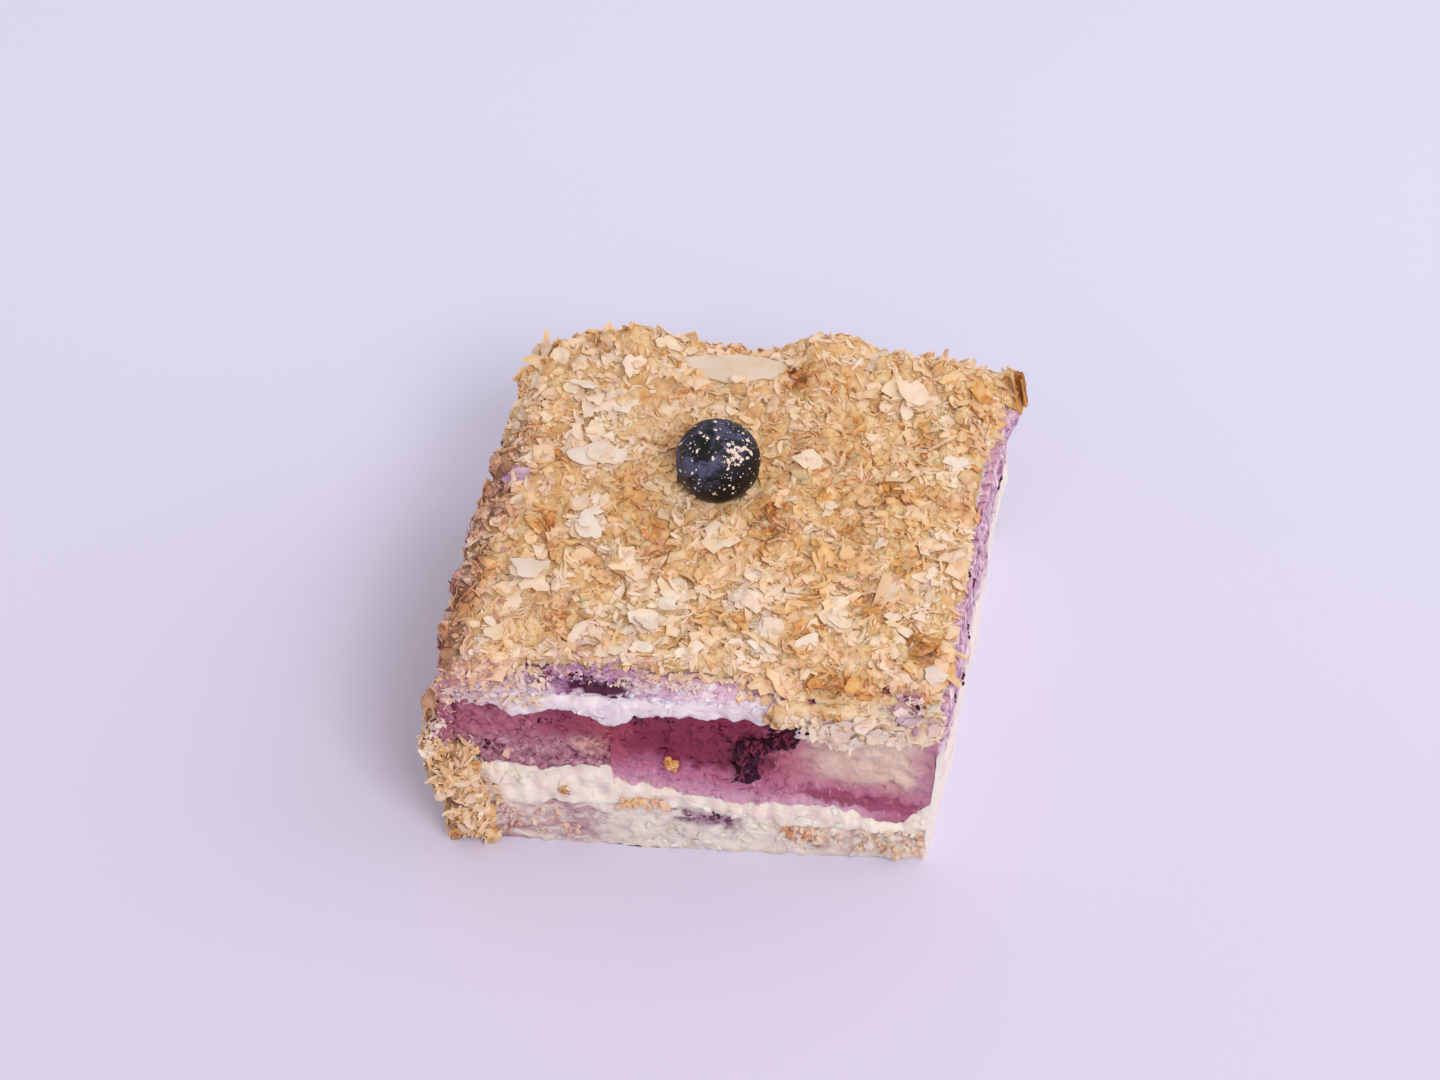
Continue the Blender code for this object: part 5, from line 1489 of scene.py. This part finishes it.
# Kinds of flakes: how many differ, sides, rings, thickness, least and greatest width, crumpling and
# how torn the rim is.
FLAKE_KINDS = (
    ("sheets", 14, 12, (0.45, 0.8, 1.0), 0.05, (0.5, 1.0), 0.4),
    ("broad", 14, 8, (0.55, 1.0), 0.08, (0.45, 0.95), 0.35),
    ("small", 12, 5, (1.0,), 0.14, (0.4, 0.9), 0.3),
)
PLATES = (8, 16, (0.35, 0.7, 1.0), 0.05, (0.9, 1.2), 0.3, 0.7)
SHRED_THICK = 0.12
SHREDS = 8
STACKS = 6
LUMPS = 8


def make_crumb_coat():
    bed = make_crumb_bed()
    rng = np.random.default_rng(CHANCE_SEED)
    skin = CoatSkin(bed)
    pastry = finish_pastry()
    shapes = {kind: draw_flakes(rng, *how) for kind, *how in FLAKE_KINDS}
    shapes["strips"] = [draw_shred(rng, SHRED_THICK) for _ in range(SHREDS)]
    shapes["stacks"] = [draw_layers(rng) for _ in range(STACKS)]
    shapes["lumps"] = [draw_crumb(rng) for _ in range(LUMPS)]
    for name, kind, *how in STREWN:
        piece = strewn(name, skin, rng, shapes[kind], *how)
        finish_off(piece, pastry, "flaky_pastry", smooth=FLAKE_ANGLE)
    make_pale_sheet(skin)
    make_rolled_flake()
    shapes["plates"] = draw_flakes(rng, *PLATES)
    face_skin = Skin(*(piece for piece in bpy.data.objects if piece.name in FACE_PIECES))
    mauve = bpy.data.objects["mauve_sponge_piece"].data.materials[0]
    place_crumbs(PLACED_PASTRY, face_skin, rng, shapes, pastry, "flaky_pastry")
    place_crumbs(PLACED_SKINS, face_skin, rng, shapes, finish_crushed_berry(), "crushed_berry_skin")
    place_crumbs(PLACED_MAUVE, face_skin, rng, shapes, mauve, "soaked_sponge_mauve", CRUMB_ANGLE)
    make_torn_crumbs(rng, shapes["lumps"])
    make_berry_specks(rng, shapes["lumps"], pastry)
    place_crumbs(PLACED_ENDS, Skin(bed), rng, shapes, pastry, "flaky_pastry")


# ---------------------------------------------------------------- light, table and camera


TABLE_SIZE = 6.0
TABLE_SQUARES = 8
LIGHT_AIM = (0.0, 0.0, 20.0)
LIGHT_COLOUR = (1.0, 0.985, 0.97)
# Each light's name, place in metres, watts and size in metres.
LIGHTS = (
    ("window_light", (0.56, -0.92, 1.26), 11.4, 0.6),
    ("side_light", (1.2, 0.25, 1.02), 3.2, 1.0),
)
ROOM_COLOUR = (1.0, 0.975, 0.98, 1.0)
ROOM_STRENGTH = 0.66

CAMERA_AIM = (-4.6, 13.0, 20.0)
CAMERA_ELEVATION = math.radians(48.4)
CAMERA_AZIMUTH = math.radians(4.1)
CAMERA_DISTANCE = 0.723
CAMERA_LENS = 105.0
FILM_WIDTH = 36.0


def build_set():
    bpy.ops.mesh.primitive_grid_add(
        x_subdivisions=TABLE_SQUARES, y_subdivisions=TABLE_SQUARES, size=TABLE_SIZE, location=(0, 0, 0)
    )
    table = bpy.context.active_object
    table.name = "tabletop"
    table.data.materials.append(finish_floor())
    aim = in_frame(*LIGHT_AIM)
    for name, place, energy, size in LIGHTS:
        lamp = bpy.data.lights.new(name, "AREA")
        lamp.energy = energy
        lamp.size = size
        lamp.color = LIGHT_COLOUR
        holder = bpy.data.objects.new(name, lamp)
        bpy.context.scene.collection.objects.link(holder)
        holder.location = Vector(place)
        holder.rotation_euler = (holder.location - aim).to_track_quat("Z", "Y").to_euler()
    world = bpy.data.worlds.new("soft_room_light")
    bpy.context.scene.world = world
    world.use_nodes = True
    sky = world.node_tree.nodes["Background"]
    sky.inputs["Color"].default_value = ROOM_COLOUR
    sky.inputs["Strength"].default_value = ROOM_STRENGTH
    bpy.context.scene.view_settings.view_transform = "Standard"


def place_camera():
    level = math.cos(CAMERA_ELEVATION)
    back = Vector(
        (
            math.sin(CAMERA_AZIMUTH) * level,
            -math.cos(CAMERA_AZIMUTH) * level,
            math.sin(CAMERA_ELEVATION),
        )
    )
    lens = bpy.data.cameras.new("photo_camera")
    lens.lens = CAMERA_LENS
    lens.sensor_width = FILM_WIDTH
    camera = bpy.data.objects.new("photo_camera", lens)
    bpy.context.scene.collection.objects.link(camera)
    camera.location = in_frame(*CAMERA_AIM) + back * CAMERA_DISTANCE
    camera.rotation_euler = back.to_track_quat("Z", "Y").to_euler()
    bpy.context.scene.camera = camera


make_layers()
make_side_cream()
make_crushed_berry()
make_blueberry()
make_crumb_coat()
build_set()
place_camera()
